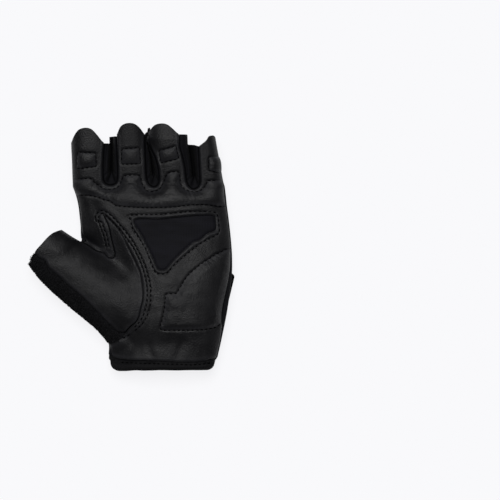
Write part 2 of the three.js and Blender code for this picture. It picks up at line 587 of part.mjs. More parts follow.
// One named mesh for each piece.
function mesh(name, manifold, color, roughness) {
  const { vertProperties, triVerts } = manifold.getMesh();
  const geometry = new THREE.BufferGeometry();
  geometry.setAttribute("position", new THREE.Float32BufferAttribute(vertProperties, 3));
  geometry.setIndex(Array.from(triVerts));
  const material = new THREE.MeshStandardMaterial({ color, roughness, side: THREE.DoubleSide });
  const piece = new THREE.Mesh(geometry, material);
  piece.name = name;
  return piece;
}

const group = new THREE.Group();
group.name = "weightlifting_glove";
group.add(
  mesh("palm_leather", palmLeather, 0x26262a, 0.6),
  mesh("thumb_leather", thumbLeather, 0x28282c, 0.6),
  mesh("thumb_towel", thumbTowel, 0x0e0e12, 1.0),
  mesh("mesh_inset", meshInset, 0x17171f, 0.9),
  mesh("heel_pad", heelPad, 0x2a2a2e, 0.6),
  mesh("knuckle_pad", knucklePad, 0x2a2a2e, 0.6),
  ...patches.map((patch, i) => mesh(PATCHES[i].name, patch, 0x2c2c30, 0.6)),
  ...gussets.map((gusset, i) => mesh(SLOTS[i].name, gusset, 0x181822, 0.9)),
  mesh("back_panel", backPanel, 0x141418, 0.9),
  mesh("cuff_binding", cuffBinding, 0x1a1a1e, 0.9),
  mesh("wrist_strap", wristStrap, 0x16161a, 0.9),
);

// The origin goes to the bottom centre of the glove's bounding box.
const box = new THREE.Box3().setFromObject(group);
const middle = box.getCenter(new THREE.Vector3());
group.children.forEach((piece) => piece.geometry.translate(-middle.x, -middle.y, -box.min.z));

export default group;
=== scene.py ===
import math

import bpy
import numpy as np
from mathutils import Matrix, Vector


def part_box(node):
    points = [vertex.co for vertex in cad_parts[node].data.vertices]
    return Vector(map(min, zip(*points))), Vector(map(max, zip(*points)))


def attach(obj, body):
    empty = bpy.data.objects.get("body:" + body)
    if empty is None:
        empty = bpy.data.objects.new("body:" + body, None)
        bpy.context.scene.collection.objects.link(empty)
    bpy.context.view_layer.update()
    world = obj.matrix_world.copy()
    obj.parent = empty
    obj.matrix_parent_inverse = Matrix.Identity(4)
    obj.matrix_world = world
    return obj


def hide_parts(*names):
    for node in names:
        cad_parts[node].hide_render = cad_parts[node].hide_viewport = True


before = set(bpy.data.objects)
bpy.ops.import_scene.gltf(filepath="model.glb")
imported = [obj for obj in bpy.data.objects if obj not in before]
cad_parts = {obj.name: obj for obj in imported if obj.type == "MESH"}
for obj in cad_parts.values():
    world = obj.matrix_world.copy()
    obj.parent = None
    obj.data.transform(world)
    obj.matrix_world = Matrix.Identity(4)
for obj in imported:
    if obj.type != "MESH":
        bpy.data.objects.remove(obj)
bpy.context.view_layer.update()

# Palm leather. One cut of thin soft leather covers the palm and the fronts of the four fingers,
# with a rounded pull tab past the hem of each. It is cut round the slots between the fingers,
# the window in the palm and the thumb, and its edges are turned under and sewn down.
STEP = 0.61  # in mm, spacing of the grid that the skin is found on
CROTCH = 121.0  # in mm like every length here, from the wrist's edge to the forks of the fingers
HAND = np.array([  # along the hand, its left and right side, its top
    (0, -0.366, 0.35, 0.8), (0.066, -0.368, 0.366, 0.82), (0.17, -0.36, 0.395, 0.92),
    (0.33, -0.35, 0.434, 1.0), (0.5, -0.36, 0.462, 1.0), (0.6, -0.43, 0.466, 0.97),
    (0.69, -0.54, 0.46, 0.93), (0.8, -0.557, 0.446, 0.91), (0.9, -0.57, 0.43, 0.92),
    (0.96, -0.577, 0.422, 0.87), (1.0, -0.584, 0.408, 0.79), (1.035, -0.56, 0.38, 0.66),
]) * (121, 98, 98, 28)
HAND_MIDDLE = 11.2
HAND_END = 125.2
HAND_SQUARE, THUMB_SQUARE = 2.5, 2.2  # 2 is an oval section, more is squarer
FINGER_HALF, FINGER_RISE, FINGER_RUN = 11.0, 3.5, 33.0  # half depth, and rise over the run
FINGERS = [  # middle at the start, root and tip, width at root and tip, hem past the crotch, droop
    (-42.6, -47.0, -47.5, 25.2, 26.3, 28.4, 0.08),
    (-20.0, -20.3, -22.0, 27.6, 23.0, 33.0, 0.0),
    (5.9, 7.1, 3.6, 25.0, 26.2, 34.3, 0.3),
    (28.4, 30.2, 26.6, 20.2, 18.2, 26.4, 0.0),
]
THUMB = np.array([  # along the thumb, aside of its axis, half width, height, half depth
    (0, 0.45, 0.86, 0.6, 0.6), (0.22, 0.42, 0.795, 0.65, 0.65), (0.55, 0.242, 0.694, 0.68, 0.61),
    (0.83, 0.108, 0.58, 0.72, 0.56), (1.0, 0.09, 0.5, 0.75, 0.545),
]) * (77.5, 31, 31, 22, 22)
THUMB_ROOT = (-24.7, 24.7)  # in plan from the middle of the wrist's edge, as every place is
THUMB_CLOSED = 88.0  # along the thumb, where the form under it ends
CORNER = 3.0  # reach of the rounding where two tubes meet or one ends
LIFT, LIFT_FROM, LIFT_TO = 2.3, 21.0, 72.0  # the thumb's root stands off the table here
DENTS = [  # middle, turn in degrees, reach across and along, depth
    (-33.0, 74.5, 137, 12.0, 20.0, 5.6), (-50.6, 85.4, 146, 4.2, 9.0, 7.0),
    (-23.5, 23.0, 138, 6.0, 13.0, 4.0), (-52.0, 102.0, 90, 6.5, 13.0, 3.2),
    (-4.0, 116.0, 0, 4.0, 9.0, 1.2), (-34.0, 7.5, 110, 10.0, 11.0, 6.5),
    (0.0, 18.0, 0, 6.5, 26.0, 1.6), (49.0, 38.0, 80, 13.5, 16.0, 6.0),
    (-58.0, 80.5, 45, 4.0, 8.0, 1.6), (-47.5, 108.5, -45, 3.6, 10.0, 2.4),
    (-22.0, 13.0, 60, 2.5, 8.0, 0.5), (-27.0, 13.5, 150, 6.5, 9.0, 2.6),
    (-8.0, 12.0, 110, 2.5, 9.0, 0.6), (12.0, 14.0, 70, 3.0, 9.0, 1.0),
]
chance = np.random.default_rng(7)
RIPPLES = [(2 * math.pi / span * math.cos(a), 2 * math.pi / span * math.sin(a), turn,
            0.0024 * span)
           for span, a, turn in zip(chance.uniform(5, 17, 26), chance.uniform(0, math.pi, 26),
                                    chance.uniform(0, 2 * math.pi, 26))]
SIDE_SEAM = 13.5
SIDE_RISE = np.array([(18, 0), (30, 2.2), (45, 3.4), (62, 2.6), (80, 0.0)])  # height over the seam
LEATHER = 1.5
CREASE = 50  # degrees past which a wall's edge is sharp
TURNED, RUBBED = 1.4, 1.2  # where a turned edge rolls, and how far it is rubbed
SLOTS = [
    [(-38.3, 149.4), (-38.8, 143.9), (-39.3, 135.3), (-39.3, 127.4), (-38.8, 124.7),
     (-37.6, 122.9), (-35, 122), (-32.3, 122.4), (-30.6, 123.7), (-29.8, 126.1), (-29.7, 132),
     (-30.1, 141.9), (-30.4, 154)],
    [(-11.6, 154), (-11.6, 148.5), (-11.3, 138.6), (-11, 130.7), (-10.4, 125.4), (-9.5, 122.9),
     (-7.9, 121.4), (-5.6, 120.7), (-3.6, 121.7), (-2.6, 124.1), (-2.5, 128), (-3.1, 133.3),
     (-5.3, 140.6), (-8.2, 146.5), (-9.9, 151.1), (-9.9, 155.3)],
    [(10.9, 155.3), (11, 151.8), (11.2, 146.5), (12.9, 140.6), (14.5, 134), (15.2, 128),
     (15.6, 124.7), (16.7, 121.8), (18.5, 119.9), (20.8, 119.1), (23.1, 120.4), (24.3, 122.8),
     (24.6, 126.7), (24.2, 135.3), (23.8, 143.9), (23.7, 147.4)],
]
TAB_OUTLINE = [(0, 0), (0.1, 0.5), (0.24, 0.88), (0.44, 1), (0.62, 0.9), (0.78, 0.55),
               (0.92, 0.16), (1, 0)]
TABS = [  # left and right edge, height, lean of the peak, fullness of the shoulders
    (-60.5, -38.3, 10.2, 1, 1), (-30.4, -11.6, 8.6, 0.93, 0.62), (-9.9, 10.9, 7.2, 1, 1),
    (23.7, 36.7, 7.2, 0.42, 1),
]
THUMB_SEAM = [(-49, 15.5), (-41.6, 16.5), (-29.7, 19.1), (-21.8, 27.7), (-17.2, 31.7),
              (-15.2, 35.6), (-13.9, 40.9), (-12.5, 46.2), (-12.6, 52.8), (-13.5, 59.4),
              (-15.2, 65.9), (-17.8, 71.3), (-21.8, 79.2), (-27, 90.4), (-33, 97.6),
              (-36.9, 101.3), (-39.6, 102.6)]
TONGUE_SEAM = [(-39.6, 102.6), (-37.6, 98.4), (-35.6, 93.7), (-34.3, 87.1), (-33, 81.8),
               (-31.9, 76.2), (-33.3, 74.3), (-35.7, 74.9), (-38.9, 77.6), (-44.2, 79.5),
               (-49.5, 83.1), (-52.9, 85.4), (-56.4, 89.5), (-59.3, 96.8)]
WINDOW = [(-18.5, 99), (-2, 99.7), (8.6, 100.7), (17.8, 101.6), (29.7, 102.3), (34.3, 101.6),
          (35, 97.7), (35, 92.4), (29.7, 90.1), (24.4, 86), (20.5, 84.7), (13.9, 79.2),
          (7.3, 72.9), (2, 66.5), (-2, 66.2), (-4, 68.6), (-7.3, 75.9), (-9.9, 81.2),
          (-13.2, 87.8)]
WINDOW_ROW = [(-21.8, 102), (-2, 102.6), (8.6, 103.6), (17.8, 104.5), (24.4, 104.7), (31, 104.3),
              (35, 103.6), (36.6, 100.3), (37, 95.7), (37.3, 91.2), (35, 88.8), (30.4, 86.5),
              (24.4, 83.2), (19.8, 79.5), (13.9, 74.9), (8.6, 70.3), (4, 65.3), (2, 63.6),
              (-2, 63.4), (-4.6, 64.4), (-5.9, 66.7), (-8.6, 72.9), (-11.2, 79.9), (-13.2, 83.2),
              (-16.5, 88.4), (-19.8, 93.4), (-21.1, 99)]
THUMB_INNER_ROW = [(-37.3, 81.2), (-38.9, 88.4), (-40.9, 93.7), (-42.3, 97.7), (-42.2, 100.8),
                   (-40.6, 103.1), (-38.3, 103), (-35, 99.6), (-31, 95.7), (-28.4, 93.1),
                   (-23.1, 85.8), (-19.8, 81.2), (-17.2, 76.4), (-15.1, 71.8), (-12.7, 65.4),
                   (-11.3, 60.1), (-10.3, 54.5), (-10.1, 49), (-10.4, 44.5), (-11.4, 40),
                   (-13, 35.6), (-15.2, 32), (-18, 29), (-21.5, 26)]
THUMB_OUTER_ROW = [(-35.3, 81.2), (-36.7, 88), (-39, 93.8), (-40.4, 97.7), (-44.2, 98.5),
                   (-44.2, 102.2), (-41, 105), (-37.5, 104.4), (-33.2, 101), (-29, 96.6),
                   (-23.1, 89.4), (-19.4, 84.3), (-16.6, 79.3), (-14, 74.1), (-11.5, 68.3),
                   (-9.7, 62.3), (-8.6, 57.4), (-7.9, 52.8), (-7.7, 48.2), (-8, 44),
                   (-9, 39.4), (-10.8, 34.8), (-13.3, 30.8), (-16.6, 27.5), (-20.7, 24.2),
                   (-27.7, 20.1)]
LIP = [(-80, 16), (-40, 11), (-35, 9.6), (-33, 8.6), (-28.4, 7.5), (-18.5, 6.9), (-8.6, 6.6),
       (1.3, 5.9), (11.2, 5.6), (21.1, 5.6), (27.7, 6.3), (31, 7.2), (35, 7.9), (40, 9), (80, 14)]
FAR = 300.0  # well past the glove
LOWEST, HIGHEST = (-96, -1.2, -1.5), (50, 165, 31.5)  # corners of the grid


def curve(rows, steps=6, closed=False):
    """Rows read at even steps between them on a smooth curve through every row: a cubic whose
    slope at a row is half the difference between the rows beside it."""
    p = np.asarray(rows, float)
    ends = (p[-1:], p[:2]) if closed else (p[:1], p[-1:])
    q = np.vstack([ends[0], p, ends[1]])
    count = len(q) - 3
    i = np.repeat(np.arange(count), steps)
    w = np.tile(np.arange(steps) / steps, count)[:, None]
    a, b, c, d = q[i], q[i + 1], q[i + 2], q[i + 3]
    out = b + 0.5 * w * (c - a + w * (2 * a - 5 * b + 4 * c - d + w * (3 * (b - c) + d - a)))
    return out if closed else np.vstack([out, p[-1:]])


def oval(across, up, half_across, half_up, squareness):
    """Distance from a rounded section. Its scaled radius is the root of the summed powers of the
    two scaled offsets, and the distance is that radius less 1, over its slope."""
    a, b = np.abs(across) / half_across, np.abs(up) / half_up
    power_a, power_b = a ** (squareness - 1), b ** (squareness - 1)
    radius = (power_a * a + power_b * b + 1e-9) ** (1 / squareness)
    slope = np.hypot(power_a / half_across, power_b / half_up) / radius ** (squareness - 1)
    return (radius - 1) / (slope + 1e-3)


def lower(a, b, reach):
    """The lower of two distances, rounded where they meet within the reach."""
    near = np.maximum(reach - np.abs(a - b), 0)
    return np.minimum(a, b) - near * near / (4 * reach)


def higher(a, b, reach):
    """The higher of two distances, rounded where they meet within the reach."""
    return -lower(-a, -b, reach)


def sag(x, y):
    """How far slack leather sinks at a point in plan: a sum of bell-shaped dents and of fine
    waves that run across each other."""
    sunk = 0.0 * x * y
    for u, v, turn, wide, long, depth in DENTS:
        c, s = math.cos(math.radians(turn)), math.sin(math.radians(turn))
        along = ((x - u) * c + (y - v) * s) / long
        aside = ((y - v) * c - (x - u) * s) / wide
        sunk = sunk + depth * np.exp(-along * along - aside * aside)
    for kx, ky, turn, size in RIPPLES:
        sunk = sunk + size * np.sin(kx * x + ky * y + turn)
    return sunk


HAND_ROWS = curve(HAND, 8)
THUMB_ROWS = curve(THUMB, 8)
OUT, ASIDE = np.array([(-1, 1), (1, 1)]) / math.sqrt(2)


def form(x, y, z):
    """Distance from the skin of the whole glove, below zero inside: the hand, four fingers and the
    thumb as tubes of rounded sections, joined with rounded corners and flattened on the floor."""
    dip = sag(x, y)
    left, right, top = (np.interp(y, HAND_ROWS[:, 0], HAND_ROWS[:, k]) for k in (1, 2, 3))
    rise = top - HAND_MIDDLE
    up = z - HAND_MIDDLE
    up = up + np.maximum(up, 0) * dip / (rise - dip)
    skin = oval(x - (left + right) / 2, up, (right - left) / 2, rise, HAND_SQUARE)
    skin = higher(skin, y - HAND_END, CORNER)
    along = (x - THUMB_ROOT[0]) * OUT[0] + (y - THUMB_ROOT[1]) * OUT[1]
    aside = (x - THUMB_ROOT[0]) * ASIDE[0] + (y - THUMB_ROOT[1]) * ASIDE[1]
    centre, half, middle, depth = (np.interp(along, THUMB_ROWS[:, 0], THUMB_ROWS[:, k])
                                   for k in (1, 2, 3, 4))
    up = z - middle
    up = up + np.maximum(up, 0) * dip / (depth - np.minimum(dip, 6))
    thumb = higher(oval(aside - centre, up, half, depth, THUMB_SQUARE), -along, 2 * CORNER)
    thumb = higher(thumb, along - THUMB_CLOSED, CORNER)
    skin = lower(skin, thumb, CORNER)
    fingers = np.full_like(skin, 50.0)
    out = np.maximum(y - CROTCH, 0) / FINGER_RUN
    for start, root, tip, root_width, tip_width, hem, droop in FINGERS:
        share = (y - CROTCH) / hem
        inside = np.clip((CROTCH - y) / 16.5, 0, 1.2)
        neck = np.clip(1 + 0.3 * np.minimum(share, 0), 0.5, 1)
        centre = root + (start - root) * inside + (tip - root) * np.maximum(share, 0)
        width = (root_width + (tip_width - root_width) * np.maximum(share, -1)) * neck / 2
        high = FINGER_HALF + FINGER_RISE * out - droop * np.maximum(y - CROTCH - hem + 3, 0)
        tube = oval(x - centre, z - high, width, FINGER_HALF * neck, HAND_SQUARE)
        fingers = lower(fingers, higher(tube, 100 - y, CORNER), 2.8)
    skin = lower(skin, fingers, 2.5)
    ease = np.clip((np.minimum(y - LIFT_FROM, LIFT_TO - y)) / 6, 0, 1)
    floor = LIFT * ease * ease * (3 - 2 * ease)
    return higher(skin, floor - z, 1.5)


def slope(field, points):
    """Value and unit slope of a field at points, from its differences over a short span."""
    h = 0.05
    value = field(*points.T)
    steep = np.stack([field(*(points + h * e).T) - field(*(points - h * e).T)
                      for e in np.eye(3)], 1) / (2 * h)
    length = np.linalg.norm(steep, axis=1) + 1e-9
    return value / length, steep / length[:, None]


def wrap(field, low, high, step):
    """Triangles over the zero surface of a field, with points and unit normals. Each grid cell
    that the surface crosses gets a point at the mean of its edges' crossings, four cells round a
    crossed edge make a square, and the points are drawn onto the surface along its slope."""
    axes = [np.arange(a, b + step, step) for a, b in zip(low, high)]
    value = field(*np.meshgrid(*axes, indexing="ij", sparse=True))
    cells = tuple(n - 1 for n in value.shape)
    total, count = np.zeros(cells + (3,)), np.zeros(cells)
    crossed = []
    for axis in range(3):
        a = np.moveaxis(np.moveaxis(value, axis, 0)[:-1], 0, axis)
        b = np.moveaxis(np.moveaxis(value, axis, 0)[1:], 0, axis)
        cross = (a < 0) != (b < 0)
        share = np.where(cross, a / np.where(cross, a - b, 1), 0)
        crossed.append((cross, a < 0))
        u, v = (axis + 1) % 3, (axis + 2) % 3
        for du in (0, 1):
            for dv in (0, 1):
                part = [slice(None)] * 3
                part[u], part[v] = slice(du, du + cells[u]), slice(dv, dv + cells[v])
                hit = cross[tuple(part)]
                count += hit
                total[..., axis] += share[tuple(part)]
                total[..., u] += du * hit
                total[..., v] += dv * hit
    used = count > 0
    index = np.full(cells, -1)
    index[used] = np.arange(used.sum())
    points = (np.argwhere(used) + total[used] / count[used][:, None]) * step + np.array(low)
    squares = []
    for axis, (cross, out) in enumerate(crossed):
        u, v = (axis + 1) % 3, (axis + 2) % 3
        at = np.argwhere(cross)
        at = at[(at[:, u] > 0) & (at[:, v] > 0) & (at[:, u] < cells[u]) & (at[:, v] < cells[v])]
        eu, ev = np.eye(3, dtype=int)[u], np.eye(3, dtype=int)[v]
        ring = np.stack([index[tuple((at - s * eu - t * ev).T)]
                         for s, t in ((1, 1), (0, 1), (0, 0), (1, 0))], 1)
        outward = out[tuple(at.T)]
        squares.append(np.where(outward[:, None], ring, ring[:, ::-1]))
    squares = np.vstack(squares)
    for _ in range(3):
        value, normal = slope(field, points)
        points = points - np.clip(value, -0.5, 0.5)[:, None] * normal
    corner = points[squares]
    short = (np.linalg.norm(corner[:, 0] - corner[:, 2], axis=1)
             < np.linalg.norm(corner[:, 1] - corner[:, 3], axis=1))
    turned = np.where(short[:, None], squares, np.roll(squares, -1, axis=1))
    faces = np.vstack([turned[:, [0, 1, 2]], turned[:, [0, 2, 3]]])
    return points, slope(field, points)[1], faces


def clip(rows, faces, value):
    """The part of a triangle mesh where a value is below zero. Triangles that cross zero are cut
    there, and every column of the rows is shared out along the cut edges."""
    count = (value < 0)[faces].sum(1)
    kept = [faces[count == 3]]
    inside = value[faces] < 0
    made = {}
    for many in (1, 2):
        some, odd = faces[count == many], inside[count == many] == (many == 1)
        turn = np.argmax(odd, axis=1)
        made[many] = np.take_along_axis(some, (turn[:, None] + np.arange(3)) % 3, 1)
    pairs = np.vstack([made[m][:, k] for m in (1, 2) for k in ([0, 1], [2, 0])])
    low, high = pairs.min(1), pairs.max(1)
    key, back = np.unique(low * len(rows) + high, return_inverse=True)
    low, high = key // len(rows), key % len(rows)
    t = (value[low] / (value[low] - value[high]))[:, None]
    rows = np.vstack([rows, rows[low] * (1 - t) + rows[high] * t])
    back = back.reshape(-1) + len(value)
    n1, n2 = len(made[1]), len(made[2])
    ab, ca = back[:n1], back[n1:2 * n1]
    kept.append(np.stack([made[1][:, 0], ab, ca], 1))
    ab, ca = back[2 * n1:2 * n1 + n2], back[2 * n1 + n2:]
    kept.append(np.stack([ab, made[2][:, 1], made[2][:, 2]], 1))
    kept.append(np.stack([ab, made[2][:, 2], ca], 1))
    faces = np.vstack(kept)
    used, faces = np.unique(faces, return_inverse=True)
    return rows[used], faces.reshape(-1, 3)


def from_line(x, y, line, closed=False):
    """Distance in plan to a line of points and the length along it to the nearest place. Where
    the line is closed, the distance is below zero inside it."""
    best, along, odd = np.full(x.shape, 1e9), np.zeros(x.shape), np.zeros(x.shape, bool)
    line = np.asarray(line, float)
    ends = np.roll(line, -1, axis=0) if closed else line[1:]
    run = 0.0
    for (ax, ay), (bx, by) in zip(line, ends):
        ex, ey = bx - ax, by - ay
        length = math.hypot(ex, ey)
        if length < 1e-9:
            continue
        t = np.clip(((x - ax) * ex + (y - ay) * ey) / length**2, 0, 1)
        away = np.hypot(x - ax - t * ex, y - ay - t * ey)
        nearer = away < best
        best = np.where(nearer, away, best)
        along = np.where(nearer, run + t * length, along)
        if closed and ay != by:
            odd ^= ((ay > y) != (by > y)) & (x < ax + (y - ay) * ex / ey)
        run += length
    return np.where(odd, -best, best), along


def bell(distance, reach):
    """One at no distance, and e to the power of less the square of the distance over the reach."""
    return np.exp(-((distance / reach) ** 2))


def smooth_step(value, low, high):
    """A rise from 0 to 1 between two values: three times the square of the share of the way,
    less twice its cube."""
    t = np.clip((value - low) / (high - low), 0, 1)
    return t * t * (3 - 2 * t)


def tab_line(tab, hem):
    """A pull tab's outline from its left edge at the hem to its right edge. Its places across are
    raised to the lean and its heights to the fullness."""
    left, right, height, lean, fullness = tab
    shape = np.array(TAB_OUTLINE)
    return curve(np.stack([left + (right - left) * shape[:, 0] ** lean,
                           hem + height * shape[:, 1] ** fullness], 1), 6)


HEMS = [CROTCH + finger[5] for finger in FINGERS]
slot_lines = [curve(line) for line in SLOTS]
slot_shapes = [np.vstack([line, [(line[-1][0], FAR), (line[0][0], FAR)]]) for line in slot_lines]
palm_outline = [np.array([(-FAR, -FAR), (-FAR, HEMS[0])])]
for number, tab in enumerate(TABS):
    palm_outline.append(tab_line(tab, HEMS[number])[1:-1])
    if number < 3:
        palm_outline.append(slot_lines[number])
palm_outline = np.vstack(palm_outline + [np.array([(FAR, HEMS[3]), (FAR, -FAR)])])
thumb_seam, tongue_seam = curve(THUMB_SEAM), curve(TONGUE_SEAM)
thumb_shape = np.vstack([thumb_seam, tongue_seam[1:],
                         [(tongue_seam[-1][0], 115), (-FAR, 115), (-FAR, thumb_seam[0][1])]])
window = curve(WINDOW, 4, closed=True)
lip = curve(LIP)
cuff_shape = np.vstack([lip, [(FAR, lip[-1][1]), (FAR, -FAR), (-FAR, -FAR), (-FAR, lip[0][1])]])
KNUCKLE_TOP = [(-64, 125.7), (-56.1, 125.7), (-47.5, 126.1), (-44.9, 123.4), (-42.6, 122.1),
               (-40.3, 120.5), (-38.3, 119.5), (-35, 119.1), (-31, 119.8), (-28.4, 122.1),
               (-27.1, 124.7), (-25.1, 128), (-16.5, 128.4), (-14.5, 126.7), (-13.9, 123.4),
               (-12.2, 120.5), (-11.2, 118.8), (-9.2, 117.8), (-7.3, 117.6), (-2.6, 118.9),
               (0, 122.8), (2, 127.4), (3.3, 129.4), (5.3, 130.3), (9.9, 130.7), (11.2, 128.7),
               (11.6, 123.4), (13.2, 120.5), (15.8, 118.5), (20.5, 117.5), (25.1, 118.5),
               (27.7, 120.8), (29, 123.4), (29.7, 124.7), (38.9, 125.1), (48.2, 125.1)]
KNUCKLE_FOOT = [(48.2, 107.6), (40.9, 107.9), (36.3, 108), (30.4, 108.9), (24.4, 109.2),
                (17.8, 108.9), (12.5, 108.2), (8.6, 107.6), (-2, 107.2), (-7.3, 107.1),
                (-15.2, 107.2), (-21.8, 107.6), (-28.4, 108.2), (-31, 108.6), (-33, 110.2),
                (-35, 111.5), (-38.9, 112.5), (-43.6, 114.2), (-50.8, 115.2), (-64, 115.8)]
HEEL = [(52, 80.6), (43.6, 79.9), (40.9, 79.5), (38.9, 78.2), (34.3, 75.9), (30.4, 73.3),
        (27.1, 71.3), (24.8, 69.6), (20.5, 66), (17.8, 63.7), (14.2, 59.1), (12.5, 56.1),
        (10.6, 53.5), (9.2, 50.8), (4.6, 50.5), (2, 49.8), (1.7, 46.2), (1, 39.6), (-0.3, 33),
        (-1.3, 27.1), (7.9, 26.4), (24.4, 26.7), (31, 27.4), (35, 28.4), (38.3, 30.4), (52, 34.3)]
PATCHES = [  # corners of the stitched patch on each finger, from its lower left round to the right
    [(-56.4, 132.7), (-43.6, 134), (-43.9, 142.9), (-56.1, 143.6)],
    [(-27.1, 135.6), (-14.5, 136), (-15.2, 146.5), (-27.1, 145.5)],
    [(-1.3, 136.3), (10.6, 139.3), (8.6, 147.5), (-2.6, 144.5)],
    [(30.4, 131.3), (38.3, 130), (40.5, 140.6), (30.4, 140.6)],
]
window_row = curve(WINDOW_ROW, 4, closed=True)
window_row = np.vstack([window_row, window_row[:1]])
thumb_rows = [curve(THUMB_INNER_ROW, 4), curve(THUMB_OUTER_ROW, 4)]
knuckle_shape = np.vstack([curve(KNUCKLE_TOP, 3), curve(KNUCKLE_FOOT, 3)])
heel_shape = curve(HEEL, 3)


def rounded(corners, radius, steps=5):
    """A closed outline whose corners are turned on curves that begin the radius before them."""
    p = np.asarray(corners, float)
    out = []
    for before, here, after in zip(np.roll(p, 1, 0), p, np.roll(p, -1, 0)):
        start = here + (before - here) * radius / np.linalg.norm(before - here)
        end = here + (after - here) * radius / np.linalg.norm(after - here)
        for t in np.linspace(0, 1, steps):
            out.append(start * (1 - t) ** 2 + 2 * here * t * (1 - t) + end * t * t)
    return np.array(out)


patch_shapes = [rounded(corners, 1.4) for corners in PATCHES]
pad_shapes = [knuckle_shape, heel_shape, *patch_shapes]

skin_points, skin_normals, skin_faces = wrap(form, LOWEST, HIGHEST, STEP)
skin_rows = np.hstack([skin_points, skin_normals])
STRAP_START = 32.732  # left of the middle, where the strap begins on the back
HAND_AT = np.array([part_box("wrist_strap")[0][0] * 1000 + STRAP_START,
                    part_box("cuff_binding")[0][1] * 1000, 0.0])


def cut_out(*limits):
    """The part of the glove's skin inside every limit, each a field that is below zero inside."""
    rows, faces = skin_rows, skin_faces
    for limit in limits:
        rows, faces = clip(rows, faces, limit(*rows[:, :3].T))
    return rows, faces


def inside(shape, extra=0.0):
    """A limit that is below zero inside an outline in plan, or less than the extra outside it."""
    return lambda x, y, z: from_line(x, y, shape, closed=True)[0] - extra


def outside(shape, gap=0.0):
    """A limit that is below zero more than the gap outside an outline in plan."""
    return lambda x, y, z: gap - from_line(x, y, shape, closed=True)[0]


def side_seam(x, y):
    """Height of the seam between the leather and the back: level, and higher over the side of the
    heel, where the back's cloth comes round into the palm."""
    return SIDE_SEAM + np.where(x > 5, np.interp(y, *curve(SIDE_RISE).T), 0)


def above(gap=0.0):
    """A limit that is below zero more than the gap over the side seam."""
    return lambda x, y, z: side_seam(x, y) + gap - z


def wall(name, rows, faces, outer, inner, finish, worn=None):
    """A closed wall over a part of the skin: two like surfaces moved out along its normals by the
    outer and inner offsets, joined by a rim along the edges that one triangle alone uses. A share
    given for the finish is kept at its points: rubbed wear on the leather, painted shade in the
    gussets' folds."""
    points, normals = rows[:, :3], rows[:, 3:6]
    n = len(points)
    top, low = points + normals * outer[:, None], points + normals * inner[:, None]
    sides = np.vstack([faces[:, [0, 1]], faces[:, [1, 2]], faces[:, [2, 0]]])
    key = np.sort(sides, axis=1) @ np.array([n, 1])
    _, first, uses = np.unique(key, return_index=True, return_counts=True)
    free = sides[first[uses == 1]]
    rim = np.stack([free[:, 1], free[:, 0], free[:, 0] + n, free[:, 1] + n], 1)
    both = faces.tolist() + (faces[:, ::-1] + n).tolist() + rim.tolist()
    mesh = bpy.data.meshes.new(name)
    mesh.from_pydata(((np.vstack([top, low]) + HAND_AT) / 1000).tolist(), [], both)
    mesh.polygons.foreach_set("use_smooth", np.ones(len(both), bool))
    mesh.set_sharp_from_angle(angle=math.radians(CREASE))
    if worn is not None:
        kept = mesh.attributes.new("worn", "FLOAT", "POINT")
        kept.data.foreach_set("value", np.tile(worn, 2).astype(np.float32))
    mesh.materials.append(finish)
    piece = bpy.data.objects.new(name, mesh)
    bpy.context.scene.collection.objects.link(piece)
    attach(piece, "root")
    return piece


def material(name, colour, roughness, specular):
    """A material with plain values on its shader, its node tree and a maker of further nodes."""
    made = bpy.data.materials.new(name)
    made.use_nodes = True
    tree = made.node_tree
    shader = tree.nodes["Principled BSDF"]
    shader.inputs["Base Color"].default_value = (*colour, 1)
    shader.inputs["Roughness"].default_value = roughness
    shader.inputs["Specular IOR Level"].default_value = specular

    def add(kind, settings=(), **inputs):
        """A node with its settings and inputs. An input i0, i1 and so on goes by its number."""
        node = tree.nodes.new("ShaderNode" + kind)
        for key, value in dict(settings).items():
            setattr(node, key, value)
        for key, value in inputs.items():
            socket = node.inputs[int(key[1:])] if key[0] == "i" and key[1:].isdigit() \
                else node.inputs[key.replace("_", " ")]
            if isinstance(value, bpy.types.NodeSocket):
                tree.links.new(value, socket)
            else:
                socket.default_value = value
        return node

    return made, tree, shader, add


LEATHER_GLOSS = 0.19


def leather(name, dark, light, roughness):
    """Matt leather: a fine pebbled grain in the bump, cloudy colour and roughness, and a slightly
    paler face where a turned edge rubs."""
    made, tree, shader, add = material(name, dark, roughness[0], LEATHER_GLOSS)
    place = add("TexCoord").outputs["Object"]
    cloud = add("TexNoise", Vector=place, Scale=55.0, Detail=4.0, Roughness=0.6).outputs["Fac"]
    grain = add("TexVoronoi", {"feature": "SMOOTH_F1"}, Vector=place, Scale=1500.0)
    fine = add("TexNoise", Vector=place, Scale=2600.0, Detail=3.0, Roughness=0.65).outputs["Fac"]
    edge = add("Attribute", {"attribute_name": "worn"}).outputs["Fac"]
    rub = add("Math", {"operation": "MULTIPLY"}, i0=edge, i1=cloud).outputs[0]
    tint = add("MapRange", Value=cloud, From_Min=0.35, From_Max=0.7).outputs[0]
    body = add("Mix", {"data_type": "RGBA"}, i0=tint, i6=(*dark, 1), i7=(*light, 1)).outputs[2]
    worn = add("Mix", {"data_type": "RGBA"}, i0=rub, i6=body,
               i7=(*[c * 2.2 for c in light], 1)).outputs[2]
    tree.links.new(worn, shader.inputs["Base Color"])
    rough = add("MapRange", Value=cloud, From_Min=0.3, From_Max=0.7, To_Min=roughness[0],
                To_Max=roughness[1]).outputs[0]
    tree.links.new(rough, shader.inputs["Roughness"])
    height = add("Math", {"operation": "MULTIPLY_ADD"}, i0=fine, i1=0.35,
                 i2=grain.outputs["Distance"]).outputs[0]
    bump = add("Bump", Strength=0.7, Distance=0.0003, Height=height)
    tree.links.new(bump.outputs[0], shader.inputs["Normal"])
    return made


palm_finish = leather("palm_leather_finish", (0.0034, 0.0034, 0.0041), (0.0063, 0.0063, 0.0073),
                      (0.43, 0.56))


